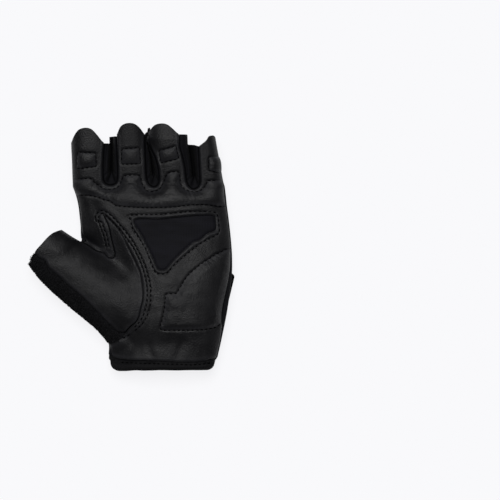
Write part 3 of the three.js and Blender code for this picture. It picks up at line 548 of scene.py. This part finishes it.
def palm_relief(x, y):
    """How far the palm leather stands off the plump form: it dives into the seams round the pads
    and the thumb, and rolls down at its turned edges."""
    off = np.zeros_like(x)
    near = np.full_like(x, 50.0)
    for shape in pad_shapes:
        away = from_line(x, y, shape, closed=True)[0]
        off -= np.where(away > 0, 0.5 * bell(away, 0.8), 0.5 + 0.3 * smooth_step(-away, 0, 1.5))
    for line in slot_lines:
        near = np.minimum(near, from_line(x, y, line)[0])
    near = np.minimum(near, np.abs(from_line(x, y, window, closed=True)[0]))
    off += 0.3 * bell(near - TURNED, 0.9) - 0.5 * bell(near, 0.6)
    seam = np.minimum(from_line(x, y, thumb_seam)[0], from_line(x, y, tongue_seam)[0])
    off += 0.4 * (1 - smooth_step(seam, 4.0, 8.0)) - 0.45 * bell(seam, 0.6)
    for line in (window_row, *thumb_rows):
        off -= 0.5 * bell(from_line(x, y, line)[0], 0.6)
    hem = from_line(x, y, lip)[0]
    off -= 0.4 * bell(hem, 0.7)
    return off, np.minimum(np.minimum(near, seam), hem)


def side_dip(rows, reach=RUBBED):
    """How far a wall dives into the side seam: a bell of its height over or under the seam."""
    return 0.6 * bell(rows[:, 2] - side_seam(rows[:, 0], rows[:, 1]), reach)


rows, faces = cut_out(above(), inside(palm_outline), outside(thumb_shape),
                      outside(cuff_shape), outside(window))
relief, near_edge = palm_relief(rows[:, 0], rows[:, 1])
relief -= side_dip(rows)
palm = wall("palm_leather_sewn", rows, faces, relief, relief - LEATHER, palm_finish,
            bell(near_edge - TURNED, RUBBED))
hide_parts("palm_leather")

# Thumb leather. The front of the thumb and the tongue beside the index finger are a second cut,
# sewn into the palm with a turned seam and topstitched on both sides of it.
THUMB_HEM = 77.5
THUMB_TAB = [(-9.3, 0), (-6.5, 1.3), (-2.6, 2.3), (3, 2.6), (8, 2.9), (12.4, 2.6), (15.6, 1.5),
             (18.6, 0)]
TOWEL_SEAM = [(-92.1, 87.1), (-83.2, 76.2), (-81.2, 73.9), (-77.2, 72.3), (-74.6, 67.3),
              (-68, 61.7), (-61.4, 55.4), (-54.8, 50.2), (-48.2, 43.9), (-41.6, 37),
              (-35, 30.4), (-29.7, 25.7), (-26.4, 24.8), (-14.7, 23)]


def on_thumb(along, aside):
    """Places in plan from the lengths along the thumb and aside of its axis."""
    return np.array(THUMB_ROOT) + np.multiply.outer(along, OUT) + np.multiply.outer(aside, ASIDE)


towel_seam = curve(TOWEL_SEAM)
leather_side = np.vstack([towel_seam, [(FAR, TOWEL_SEAM[-1][1]), (FAR, FAR),
                                       (TOWEL_SEAM[0][0], FAR)]])
thumb_tab = curve(THUMB_TAB)
thumb_end = np.vstack([[on_thumb(THUMB_HEM, -60)],
                       on_thumb(THUMB_HEM + thumb_tab[:, 1], thumb_tab[:, 0]),
                       [on_thumb(THUMB_HEM, 60), on_thumb(140, 60), on_thumb(140, -60)]])
rows, faces = cut_out(above(), inside(thumb_shape, 1.2), inside(leather_side),
                      outside(thumb_end))
x, y = rows[:, :2].T
seam = np.minimum(from_line(x, y, thumb_seam)[0], from_line(x, y, tongue_seam)[0])
towel_edge = from_line(x, y, towel_seam)[0]
under = -from_line(x, y, thumb_shape, closed=True)[0]
relief = -1.75 + 1.75 * smooth_step(under, -0.3, 1.0)
relief -= 0.5 * bell(towel_edge, 0.8)
relief -= side_dip(rows)
thumb = wall("thumb_leather_sewn", rows, faces, relief, relief - LEATHER, palm_finish,
             bell(np.minimum(seam, towel_edge) - TURNED, RUBBED))
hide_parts("thumb_leather")

# Thumb towelling. The outer side and back of the thumb are a band of looped cotton towelling,
# for wiping the brow, sewn to the leather and the back. Its pile is small loops of thread that
# lean at random.
TOWEL = 1.8
BACK_SEAM = [(-49, 15.7), (-32.3, 20.6), (-29.4, 36.3), (-35.3, 56.9), (-44.1, 72.6),
             (-52.9, 85.4), (-56.4, 89.5), (-59.3, 96.8)]
thumb_back = np.vstack([curve(BACK_SEAM), [(-59.3, 115), (-FAR, 115), (-FAR, 15.7)]])


def towel_region(x, y, z):
    """Below zero on the towelling: over the front outside its seam, and under the thumb."""
    front = np.maximum(from_line(x, y, thumb_shape, closed=True)[0] + 0.1,
                       -1.2 - from_line(x, y, leather_side, closed=True)[0])
    back = np.maximum(from_line(x, y, thumb_back, closed=True)[0] + 0.1, z - SIDE_SEAM + 0.2)
    return np.minimum(np.maximum(front, SIDE_SEAM - 0.2 - z), back)


TOWEL_HEM = [(-60, 76.4), (-16, 76.8), (-10, 78.4), (-6, 79.0), (-2, 78.0), (2, 76.6), (60, 76.6)]
towel_hem = curve([on_thumb(along, aside) for aside, along in TOWEL_HEM])
towel_hem = np.vstack([towel_hem, [on_thumb(140, 60), on_thumb(140, -60)]])
towel_finish, tree, shader, add = material("towelling_finish", (0.002, 0.002, 0.0025), 0.95, 0.05)
place = add("TexCoord").outputs["Object"]
loops = add("TexVoronoi", Vector=place, Scale=900.0).outputs["Distance"]
fluff = add("TexNoise", Vector=place, Scale=3000.0, Detail=3.0).outputs["Fac"]
height = add("Math", {"operation": "MULTIPLY_ADD"}, i0=fluff, i1=0.4, i2=loops).outputs[0]
tint = add("Mix", {"data_type": "RGBA"}, i0=loops, i6=(0.0105, 0.0105, 0.012, 1),
           i7=(0.0035, 0.0035, 0.004, 1)).outputs[2]
tree.links.new(tint, shader.inputs["Base Color"])
tree.links.new(add("Bump", Strength=0.9, Distance=0.0006, Height=height).outputs[0],
               shader.inputs["Normal"])
shader.inputs["Sheen Weight"].default_value = 0.02
rows, faces = cut_out(towel_region, outside(cuff_shape), outside(towel_hem))
under = np.where(rows[:, 2] > SIDE_SEAM - 0.2,
                 from_line(*rows[:, :2].T, leather_side, closed=True)[0], 9.0)
relief = -1.9 + 1.7 * smooth_step(under, -0.1, 1.8)
towel = wall("thumb_towelling", rows, faces, relief, relief - TOWEL, towel_finish)
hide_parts("thumb_towel")

LOOPS, LOOP_SPAN, LOOP_HEIGHT, LOOP_THICK = 6500, 0.9, 1.15, 0.17
LOOP_FOOT, LOOP_SKEW = 0.3, 0.4
LEATHER_FLANK = 12.5  # aside of the thumb's axis, where the towelling meets leather again
corner = rows[faces]
area = np.linalg.norm(np.cross(corner[:, 1, :3] - corner[:, 0, :3],
                               corner[:, 2, :3] - corner[:, 0, :3]), axis=1)
chance = np.random.default_rng(11)
middle = corner.mean(1)
leather_flank = (middle[:, :2] - THUMB_ROOT) @ ASIDE > LEATHER_FLANK
area *= np.where(leather_flank, 0.0, 1.0)
chosen = chance.choice(len(faces), LOOPS, p=area / area.sum())
share = chance.dirichlet((1, 1, 1), LOOPS)
spot = (corner[chosen] * share[:, :, None]).sum(1)
grow = spot[:, 3:6] / np.linalg.norm(spot[:, 3:6], axis=1, keepdims=True)
root = spot[:, :3] + grow * (relief[faces[chosen]] * share).sum(1)[:, None]
lean = chance.normal(size=(LOOPS, 3))
lean -= (lean * grow).sum(1, keepdims=True) * grow
lean /= np.linalg.norm(lean, axis=1, keepdims=True)
aside = np.cross(grow, lean)
size = chance.uniform(0.7, 1.3, (LOOPS, 1, 1))
arc = np.linspace(0, math.pi, 5)[None, :, None]
skew = LOOP_SKEW * np.sin(arc) * chance.normal(size=(LOOPS, 1, 1))
path = root[:, None] + size * (LOOP_SPAN / 2 * np.cos(arc) * lean[:, None]
                               + (LOOP_HEIGHT * np.sin(arc) - LOOP_FOOT) * grow[:, None]
                               + skew * aside[:, None])
ahead = np.gradient(path, axis=1)
ahead /= np.linalg.norm(ahead, axis=2, keepdims=True)
flank = np.broadcast_to(aside[:, None], ahead.shape)
crown = np.cross(ahead, flank)
corner_turn = np.arange(3) * 2 * math.pi / 3
ring = path[:, :, None] + LOOP_THICK * (flank[:, :, None] * np.cos(corner_turn)[:, None]
                                        + crown[:, :, None] * np.sin(corner_turn)[:, None])
pattern = np.arange(15).reshape(5, 3)
squares = np.stack([pattern[:-1], np.roll(pattern, -1, 1)[:-1], np.roll(pattern, -1, 1)[1:],
                    pattern[1:]], 2).reshape(-1, 4)
start = (np.arange(LOOPS) * 15)[:, None]
mesh = bpy.data.meshes.new("thumb_towelling_loops")
mesh.from_pydata(((ring.reshape(-1, 3) + HAND_AT) / 1000).tolist(), [],
                 (squares[:, ::-1].reshape(1, -1, 4) + start[:, :, None]).reshape(-1, 4).tolist()
                 + np.vstack([pattern[0] + start, pattern[-1, ::-1] + start]).tolist())
mesh.polygons.foreach_set("use_smooth", np.ones(len(mesh.polygons), bool))
mesh.materials.append(towel_finish)
loops = bpy.data.objects.new("thumb_towelling_loops", mesh)
bpy.context.scene.collection.objects.link(loops)
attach(loops, "root")

# Palm window. A piece of fine ribbed knit, slightly blue, is sewn in behind the leather, so that
# the palm breathes.
KNIT = 0.8
knit_finish, tree, shader, add = material("knit_finish", (0.004, 0.004, 0.006), 0.75, 0.14)
place = add("TexCoord").outputs["Object"]
ribs = add("TexWave", {"bands_direction": "X"}, Vector=place, Scale=180.0, Distortion=0.4,
           Detail=1.0).outputs["Fac"]
rows_of = add("TexWave", {"bands_direction": "Y"}, Vector=place, Scale=260.0, Distortion=0.4,
              Detail=1.0).outputs["Fac"]
height = add("Math", {"operation": "MULTIPLY"}, i0=ribs, i1=rows_of).outputs[0]
tint = add("Mix", {"data_type": "RGBA"}, i0=height, i6=(0.0028, 0.0028, 0.0048, 1),
           i7=(0.0055, 0.0055, 0.0095, 1)).outputs[2]
# Painted sheen: broad bands stretched across the window make the knit's colour lighter and darker,
# as soft light would on its gentle waves.
wide = add("Mapping", Vector=place, Scale=(0.25, 1, 1)).outputs[0]
painted_sheen_band = add("TexNoise", Vector=wide, Scale=230.0, Detail=2.0).outputs["Fac"]
painted_sheen_band = add("MapRange", Value=painted_sheen_band, From_Min=0.35, From_Max=0.65).outputs[0]
tint = add("Mix", {"data_type": "RGBA"}, i0=painted_sheen_band, i6=(0.0016, 0.0016, 0.0032, 1),
           i7=tint).outputs[2]
tree.links.new(tint, shader.inputs["Base Color"])
tree.links.new(add("Bump", Strength=0.5, Distance=0.0002, Height=height).outputs[0],
               shader.inputs["Normal"])
shader.inputs["Sheen Weight"].default_value = 0.05
rows, faces = cut_out(above(), inside(window, 2.2))
away = from_line(*rows[:, :2].T, window, closed=True)[0]
relief = -1.0 - 0.75 * smooth_step(away, -1.5, 0.3)
inset = wall("palm_window_knit", rows, faces, relief, relief - KNIT, knit_finish)
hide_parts("mesh_inset")

# Heel pad, knuckle pad and finger patches. Foam is quilted between the palm and a second layer
# of leather, and puffs up inside each line of stitches.
STITCH = 3.0
PAD_EDGE = 0.45  # a pad's face over the leather at its stitches
PUCKER = 0.08
MOST_PUFF = 0.8
pad_finish = leather("pad_leather_finish", (0.0042, 0.0042, 0.0050), (0.0076, 0.0076, 0.0088),
                     (0.41, 0.55))


def puff(points, faces, sewn, most):
    """Points of a sheet of leather over foam after a short cloth simulation. Air pressure lifts it
    while it is held along its stitches, with a little spare leather to pucker; no point moves
    further than the most given."""
    mesh = bpy.data.meshes.new("puff")
    mesh.from_pydata((points / 10).tolist(), [], faces.tolist())
    sheet = bpy.data.objects.new("puff", mesh)
    bpy.context.scene.collection.objects.link(sheet)
    held = sheet.vertex_groups.new(name="sewn")
    held.add(np.flatnonzero(sewn).tolist(), 1.0, "REPLACE")
    cloth = sheet.modifiers.new("cloth", "CLOTH")
    settings = cloth.settings
    settings.quality = 4
    settings.mass = 0.3
    settings.tension_stiffness = settings.compression_stiffness = 15
    settings.shear_stiffness = 5
    settings.bending_stiffness = 0.5
    settings.shrink_min = -0.012
    settings.use_pressure = True
    settings.uniform_pressure_force = 2.5
    settings.vertex_group_mass = "sewn"
    settings.effector_weights.gravity = 0
    for moment in range(1, 16):
        bpy.context.scene.frame_set(moment)
    seen = sheet.evaluated_get(bpy.context.evaluated_depsgraph_get()).data
    moved = np.empty(len(points) * 3)
    seen.vertices.foreach_get("co", moved)
    moved = moved.reshape(-1, 3) * 10 - points
    bpy.data.objects.remove(sheet)
    bpy.context.scene.frame_set(1)
    length = np.linalg.norm(moved, axis=1, keepdims=True) + 1e-9
    return points + moved * np.minimum(1, most / length)


def quilt(name, shape, height, swell, node, foot=1.6, corners=None):
    """A pad over an outline. Its face rises over the swell from its edge to its height, by one
    less the square of the share of the swell that is left. Between four corners it is a dome
    instead: the product of two arches, each four times the distances from two sides over their
    sum's square. Round its edge it puckers with the stitches, a cosine along the outline."""
    rows, faces = cut_out(inside(shape), above(foot))
    x, y, z = rows[:, :3].T
    away, along = from_line(x, y, shape, closed=True)
    depth = np.minimum(-away, np.maximum(z - side_seam(x, y) - foot, 0))
    lift = 1 - (1 - np.clip(depth / swell, 0, 1)) ** 2
    if corners is not None:
        sides = [np.abs(np.cross(np.subtract(b, a), np.stack([x - a[0], y - a[1]], 1)))
                 / math.dist(a, b) for a, b in zip(corners, corners[1:] + corners[:1])]
        arches = [sides[k] * sides[k + 2] * 4 / (sides[k] + sides[k + 2]) ** 2 for k in (0, 1)]
        lift = np.clip(arches[0], 0, 1) ** 0.6 * np.clip(arches[1], 0, 1) ** 0.5
    base = palm_relief(x, y)[0] + 0.08
    stitch = np.cos(2 * math.pi * along / STITCH)
    face = base + PAD_EDGE + height * lift + PUCKER * stitch * bell(depth - 1.8, 1.2)
    sewn = (depth < 0.5) | ((depth < 1.1) & (stitch > 0.2))
    plump = puff(rows[:, :3] + rows[:, 3:6] * face[:, None], faces, sewn, MOST_PUFF)
    face = ((plump - rows[:, :3]) * rows[:, 3:6]).sum(1)
    piece = wall(name, rows, faces, face, base, pad_finish, bell(depth - 1.2, 1.0))
    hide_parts(node)


quilt("heel_pad_quilted", heel_shape, 0.7, 4.0, "heel_pad")
quilt("knuckle_pad_quilted", knuckle_shape, 1.5, 4.5, "knuckle_pad")
for node, shape, corners in zip(("index_pad", "middle_pad", "ring_pad", "little_pad"),
                                patch_shapes, PATCHES):
    quilt(node + "_quilted", shape, 1.5, 3.8, node, corners=corners)

# Finger gussets. Strips of bluish black stretch cloth fill the slots between the fingers. They are
# tucked under the leather's edge, folded down between the fingers and pleated into the fork.
stretch_finish, tree, shader, add = material("stretch_finish", (0.0065, 0.0065, 0.0095), 0.8, 0.03)
place = add("TexCoord").outputs["Object"]
weave = add("TexWave", {"bands_direction": "DIAGONAL"}, Vector=place, Scale=420.0, Distortion=1.0,
            Detail=1.0).outputs["Fac"]
tree.links.new(add("Bump", Strength=0.35, Distance=0.00012, Height=weave).outputs[0],
               shader.inputs["Normal"])
# Painted shade: this share darkens the cloth almost to black where it tucks under the leather and
# in the hollows of its folds.
painted_fold_shade = add("Attribute", {"attribute_name": "worn"}).outputs["Fac"]
nap = add("TexNoise", Vector=place, Scale=140.0, Detail=3.0).outputs["Fac"]
cloth = add("Mix", {"data_type": "RGBA"}, i0=nap, i6=(0.0055, 0.0055, 0.0066, 1),
            i7=(0.0085, 0.0085, 0.0102, 1)).outputs[2]
cloth = add("Mix", {"data_type": "RGBA"}, i0=painted_fold_shade, i6=cloth,
            i7=(0.0004, 0.0004, 0.0007, 1)).outputs[2]
tree.links.new(cloth, shader.inputs["Base Color"])
shader.inputs["Sheen Weight"].default_value = 0.01
GUSSET_SEAM = 6.0  # height of the seam between the gussets and the back
GUSSET = 1.0
TUCK = 1.2  # how far a gusset goes under the leather
GUSSET_ENDS = [(-34.4, HEMS[0]), (-34.4, HEMS[1]), (-11.4, HEMS[1]), (-11.2, 155.0),
               (-10.4, 157.0), (-9.9, 160.0), (-9.2, 156.8), (-8.6, HEMS[2]), (16.2, HEMS[2]),
               (16.4, 148.8), (20.5, 148.4), (23.7, HEMS[3])]
finger_ends = np.vstack([[(-FAR, FAR), (-FAR, HEMS[0])], GUSSET_ENDS,
                         [(FAR, HEMS[3]), (FAR, FAR)]])


def over(height):
    """A limit that is below zero over a height."""
    return lambda x, y, z: height - z


def rest_height(x, y, way=1):
    """Height of the plump form over places in plan: a point is let down from above, or up from
    below, by its distance from the form, over and over, until it lies on it."""
    z = np.full_like(x, 14 + 18.0 * way)
    for _ in range(60):
        z = z - way * np.clip(form(x, y, z), -1, 4)
    return z


for number, name in enumerate(("index_gusset", "middle_gusset", "little_gusset")):
    rows, faces = cut_out(inside(slot_shapes[number], TUCK), over(GUSSET_SEAM),
                          outside(finger_ends))
    x, y, z = rows[:, :3].T
    line = slot_lines[number]
    fork = np.argmin(line[:, 1])
    left = np.interp(y, line[fork::-1, 1], line[fork::-1, 0])
    right = np.interp(y, line[fork:, 1], line[fork:, 0])
    across = (x - left) / np.maximum(right - left, 1)
    away = -from_line(x, y, slot_shapes[number], closed=True)[0]
    rise = y - line[fork, 1]
    share = np.clip(rise / 26, 0, 1)
    # The pleats fan out from a place above the fork, 11 folds to a full turn.
    pleats = np.cos(11 * np.arctan2(x - line[fork, 0] - 0.6, 10.5 - rise))
    at_fork = bell(rise - 4.5, 3.6) * smooth_step(away, 0.5, 1.4)
    # The cloth goes deepest a little right of the slot's middle.
    valley = np.exp(-((across - 0.57) / 0.2) ** 4) * smooth_step(rise, 4, 10)
    tuck = 1 - smooth_step(away, 0.1, 0.9)
    # One long fold on the left wanders inwards to the fingertips.
    strip = np.cos(2 * math.pi * (across - 0.22 - 0.16 * share) / 0.36)
    strip = strip * bell(across - 0.25 - 0.16 * share, 0.22) * smooth_step(rise, 4, 12)
    sunk = 0.5 + 1.4 * tuck + 4.6 * valley - 0.8 * pleats * at_fork - 0.7 * strip
    # Painted shade in the folds: a share that darkens the cloth in the tuck under the leather, in
    # the valley and in the pleats' hollows, less on the crests of the pleats and the long fold.
    painted_fold_shade = np.clip(0.9 * tuck + valley - 0.75 * pleats * at_fork - 0.5 * strip, 0, 1)
    lowest = rest_height(x, y, -1) + 2.4
    up = rows[:, 5] > 0
    rows[up, 3:6] = (0, 0, 1)
    relief = np.where(up, np.maximum(z - sunk, np.minimum(lowest, z - 0.5)) - z, -0.3)
    gusset = wall(name + "_cloth", rows, faces, relief, relief - GUSSET, stretch_finish,
                  np.where(up, painted_fold_shade, 0.0))
    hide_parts(name)

# Back of the glove. One piece of the same bluish black stretch cloth covers the back of the hand
# and of the fingers, sewn to the leather along the sides and to the gussets between the fingers.
BACK = 1.2


def below(gap=0.0):
    """A limit that is below zero more than the gap under the side seam."""
    return lambda x, y, z: z - side_seam(x, y) + gap


def clear_of_gussets(x, y, z):
    """A limit that is below zero outside every slot, and in the slots under the gussets."""
    return np.maximum.reduce([np.minimum(z - GUSSET_SEAM + 0.2,
                                         -from_line(x, y, shape, closed=True)[0])
                              for shape in slot_shapes])


rows, faces = cut_out(below(0.2), outside(thumb_back, 0.1), outside(cuff_shape),
                      outside(finger_ends), clear_of_gussets)
relief = -side_dip(rows, 1.0)
back = wall("back_cloth", rows, faces, relief, relief - BACK, stretch_finish)
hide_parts("back_panel")

# Cuff. A band of woven elastic is folded over the wrist's edge and sewn under the leather's lip,
# with one row of stitches sunk in a groove along its middle.
ELASTIC = 1.6
CUFF_HALF, CUFF_ROUND = 35.9, 6.0  # half its width, and the rounding of its corners
GROOVE = 0.7
CUFF_ROW = [(-34, 6.3), (-28.4, 5.3), (-11.9, 4.6), (-2, 4.3), (11.2, 4), (19.1, 3.6), (34, 4.9)]
elastic_finish, tree, shader, add = material("elastic_finish", (0.003, 0.003, 0.0036), 0.68, 0.105)
place = add("TexCoord").outputs["Object"]
ribs = add("TexWave", {"bands_direction": "X"}, Vector=place, Scale=330.0, Distortion=0.3,
           Detail=1.0).outputs["Fac"]
tree.links.new(add("Bump", Strength=0.5, Distance=0.0002, Height=ribs).outputs[0],
               shader.inputs["Normal"])
quarter = np.linspace(0, math.pi / 2, 6)
cuff_corner = np.stack([CUFF_HALF - CUFF_ROUND * (1 - np.sin(quarter)),
                        CUFF_ROUND * (1 - np.cos(quarter))], 1)
cuff_outline = np.vstack([[(-FAR, FAR), (-FAR, CUFF_ROUND)], (cuff_corner * (-1, 1))[::-1],
                          cuff_corner, [(FAR, CUFF_ROUND), (FAR, FAR)]])
rows, faces = cut_out(inside(cuff_shape, 2.0), inside(cuff_outline))
x, y, z = rows[:, :3].T
away = -from_line(x, y, cuff_shape, closed=True)[0]
relief = np.where(z > HAND_MIDDLE, -1.7 + 1.5 * smooth_step(away, 0, 1.5), -0.3)
relief -= 1.0 * bell(from_line(x, y, cuff_outline, closed=True)[0], 1.0)
relief -= GROOVE * bell(from_line(x, y, curve(CUFF_ROW))[0], 0.8) * (z > HAND_MIDDLE)
cuff = wall("cuff_elastic", rows, faces, relief, relief - ELASTIC, elastic_finish)
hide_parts("cuff_binding")

# Wrist strap. A hook-and-loop strap closes over the back of the wrist, its end cut at a slant. It
# is a flat slab with a rolled edge and a stitched groove round its upper face.
strap_finish, tree, shader, add = material("strap_finish", (0.003, 0.003, 0.0036), 0.85, 0.1)
place = add("TexCoord").outputs["Object"]
pile = add("TexNoise", Vector=place, Scale=2500.0, Detail=3.0).outputs["Fac"]
tree.links.new(add("Bump", Strength=0.6, Distance=0.0003, Height=pile).outputs[0],
               shader.inputs["Normal"])
STRAP = [(-32.7, 28), (36.7, 28), (39.9, 31.0), (47.3, 62.0), (44.3, 65), (-32.7, 65)]
STRAP_RINGS = [  # how far in from the outline, and height, from the lower face to the upper
    (0.5, 0.0), (0.15, 0.2), (0.0, 0.7), (0.0, 1.2), (0.15, 1.7), (0.5, 1.9), (1.9, 1.9),
    (2.2, 1.55), (2.6, 1.55), (2.9, 1.85), (3.6, 1.9),
]
strap_outline = rounded(STRAP, 1.2, 7)
ahead = np.roll(strap_outline, -1, 0) - np.roll(strap_outline, 1, 0)
inward = np.stack([-ahead[:, 1], ahead[:, 0]], 1) / np.linalg.norm(ahead, axis=1, keepdims=True)
count = len(strap_outline)
rings = np.vstack([np.hstack([strap_outline + inset * inward, np.full((count, 1), height)])
                   for inset, height in STRAP_RINGS])
a = np.arange(len(rings)).reshape(-1, count)
squares = np.stack([a[:-1], np.roll(a, -1, 1)[:-1], np.roll(a, -1, 1)[1:], a[1:]], 2)
mesh = bpy.data.meshes.new("wrist_strap_sewn")
mesh.from_pydata(((rings + HAND_AT) / 1000).tolist(), [],
                 squares.reshape(-1, 4).tolist() + [a[0, ::-1].tolist(), a[-1].tolist()])
mesh.polygons.foreach_set("use_smooth", np.ones(len(mesh.polygons), bool))
mesh.set_sharp_from_angle(angle=math.radians(CREASE))
mesh.materials.append(strap_finish)
strap = bpy.data.objects.new("wrist_strap_sewn", mesh)
bpy.context.scene.collection.objects.link(strap)
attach(strap, "root")
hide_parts("wrist_strap")

# Stitches. Black polyester thread, one row along the edges of the pads, the window and the cuff,
# and two rows on the palm's side of the thumb seam. Each stitch is a short rounded bead that dips
# in at its ends.
STEEPEST = 1.6  # a stitch whose ends differ more in height would hang in the air
thread_finish, tree, shader, add = material("thread_finish", (0.0008, 0.0008, 0.001), 0.85, 0.02)
place = add("TexCoord").outputs["Object"]
ply = add("TexWave", {"bands_direction": "DIAGONAL"}, Vector=place, Scale=900.0).outputs["Fac"]
tree.links.new(add("Bump", Strength=0.5, Distance=0.0001, Height=ply).outputs[0],
               shader.inputs["Normal"])


def thread(name, lines, proud, pitch=STITCH, length=2.0, radius=0.33):
    """Beads of thread along lines in plan, over the form by the height that the function proud
    gives. A bead has seven rings of six points. Its height follows a bow, one less the square of
    the place along it, and its thickness the root of the bow, so that both ends sink in."""
    places = []
    for line in lines:
        line = np.asarray(line, float)
        run = np.concatenate([[0], np.cumsum(np.linalg.norm(np.diff(line, axis=0), axis=1))])
        middles = np.arange(pitch / 2, run[-1] - pitch / 4, pitch)
        along = middles[:, None] + np.linspace(-0.5, 0.5, 7) * length
        places.append(np.stack([np.interp(along, run, line[:, k]) for k in (0, 1)], 2))
    places = np.vstack(places)
    x, y = places.reshape(-1, 2).T
    heights = (rest_height(x, y) + proud(x, y)).reshape(places.shape[:2])
    good = (heights.min(1) > SIDE_SEAM + 1.5) & (np.ptp(heights, axis=1) < STEEPEST)
    places, heights = places[good], heights[good]
    bow = 1 - (np.linspace(-1, 1, 7) * 0.97) ** 2
    level = heights + radius * (0.9 * bow - 0.45)
    centre = np.concatenate([places, level[..., None]], 2)
    ahead = np.gradient(centre, axis=1)
    ahead /= np.linalg.norm(ahead, axis=2, keepdims=True)
    side = np.cross(ahead, (0, 0, 1.0))
    side /= np.linalg.norm(side, axis=2, keepdims=True)
    up = np.cross(side, ahead)
    turn = np.linspace(0, 2 * math.pi, 7)[:6]
    thick = radius * np.sqrt(bow)[None, :, None, None]
    ring = centre[:, :, None] + thick * (side[:, :, None] * np.cos(turn)[:, None]
                                         + up[:, :, None] * np.sin(turn)[:, None])
    a = np.arange(6 * 7).reshape(7, 6)
    squares = np.stack([a[:-1], np.roll(a, -1, 1)[:-1], np.roll(a, -1, 1)[1:], a[1:]], 2)
    start = (np.arange(len(ring)) * 42)[:, None]
    squares = (squares.reshape(1, -1, 4) + start[:, :, None]).reshape(-1, 4)
    caps = np.vstack([a[0, ::-1] + start, a[-1] + start])
    mesh = bpy.data.meshes.new(name)
    mesh.from_pydata(((ring.reshape(-1, 3) + HAND_AT) / 1000).tolist(), [],
                     squares[:, ::-1].tolist() + caps[:, ::-1].tolist())
    mesh.polygons.foreach_set("use_smooth", np.ones(len(mesh.polygons), bool))
    mesh.materials.append(thread_finish)
    piece = bpy.data.objects.new(name, mesh)
    bpy.context.scene.collection.objects.link(piece)
    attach(piece, "root")


def on_pads(x, y):
    """Height of a pad's edge over the form."""
    return palm_relief(x, y)[0] + 0.55


def on_palm(x, y):
    """Height of the palm leather over the form."""
    return palm_relief(x, y)[0]


def on_cuff(x, y):
    """Height of the groove along the cuff, which lies under the form."""
    return np.full_like(x, -GROOVE)


thread("pad_stitches", [curve(KNUCKLE_TOP, 3), curve(KNUCKLE_FOOT, 3), curve(HEEL, 3),
                        *[np.vstack([shape, shape[:1]]) for shape in patch_shapes]], on_pads)
thread("palm_stitches", [window_row, *thumb_rows], on_palm, pitch=3.2, length=2.2, radius=0.4)
thread("cuff_stitches", [curve(CUFF_ROW)], on_cuff)

# Studio. A plain pale table with an even glow of its own, which hides most of the shade beside the
# glove, one wide soft light a little beyond the fingertips, and a dim sky that only the camera
# sees as pale. The camera is high up and looks straight down.
floor_mesh = bpy.data.meshes.new("table")
floor_mesh.from_pydata([(x, y, -0.0002) for x, y in ((-3, -3), (3, -3), (3, 3), (-3, 3))], [],
                       [(0, 1, 2, 3)])
floor = bpy.data.objects.new("table", floor_mesh)
bpy.context.scene.collection.objects.link(floor)
floor_finish, tree, shader, add = material("table_finish", (0.12, 0.12, 0.125), 0.9, 0.0)
shader.inputs["Emission Color"].default_value = (0.983, 0.983, 1.0, 1)
shader.inputs["Emission Strength"].default_value = 0.852
floor_mesh.materials.append(floor_finish)

sky = bpy.data.worlds.new("sky")
sky.use_nodes = True
tree = sky.node_tree
dim = tree.nodes["Background"]
dim.inputs["Color"].default_value = (1, 1, 1, 1)
dim.inputs["Strength"].default_value = 0.06
wall_light = tree.nodes.new("ShaderNodeBackground")
wall_light.inputs["Color"].default_value = (0.93, 0.94, 0.96, 1)
seen = tree.nodes.new("ShaderNodeLightPath").outputs["Is Camera Ray"]
mix = tree.nodes.new("ShaderNodeMixShader")
tree.links.new(seen, mix.inputs[0])
tree.links.new(dim.outputs[0], mix.inputs[1])
tree.links.new(wall_light.outputs[0], mix.inputs[2])
tree.links.new(mix.outputs[0], tree.nodes["World Output"].inputs[0])
bpy.context.scene.world = sky
bpy.context.scene.view_settings.view_transform = "Standard"
lamp = bpy.data.lights.new("softbox", "SUN")
lamp.energy = 2.8
lamp.angle = math.radians(34)
light = bpy.data.objects.new("softbox", lamp)
light.rotation_euler = (math.radians(-17), math.radians(-3), 0)
bpy.context.scene.collection.objects.link(light)

PICTURE_WIDTH = 0.330  # metres across the picture at the height of the glove's outline
OUTLINE_HEIGHT = 0.013
CAMERA_HEIGHT = 3.0
lens = bpy.data.cameras.new("camera")
lens.sensor_width = 36
lens.lens = lens.sensor_width * (CAMERA_HEIGHT - OUTLINE_HEIGHT) / PICTURE_WIDTH
lens.clip_end = 20
camera = bpy.data.objects.new("camera", lens)
camera.location = (0.07805, -0.00209, CAMERA_HEIGHT)
bpy.context.scene.collection.objects.link(camera)
bpy.context.scene.camera = camera
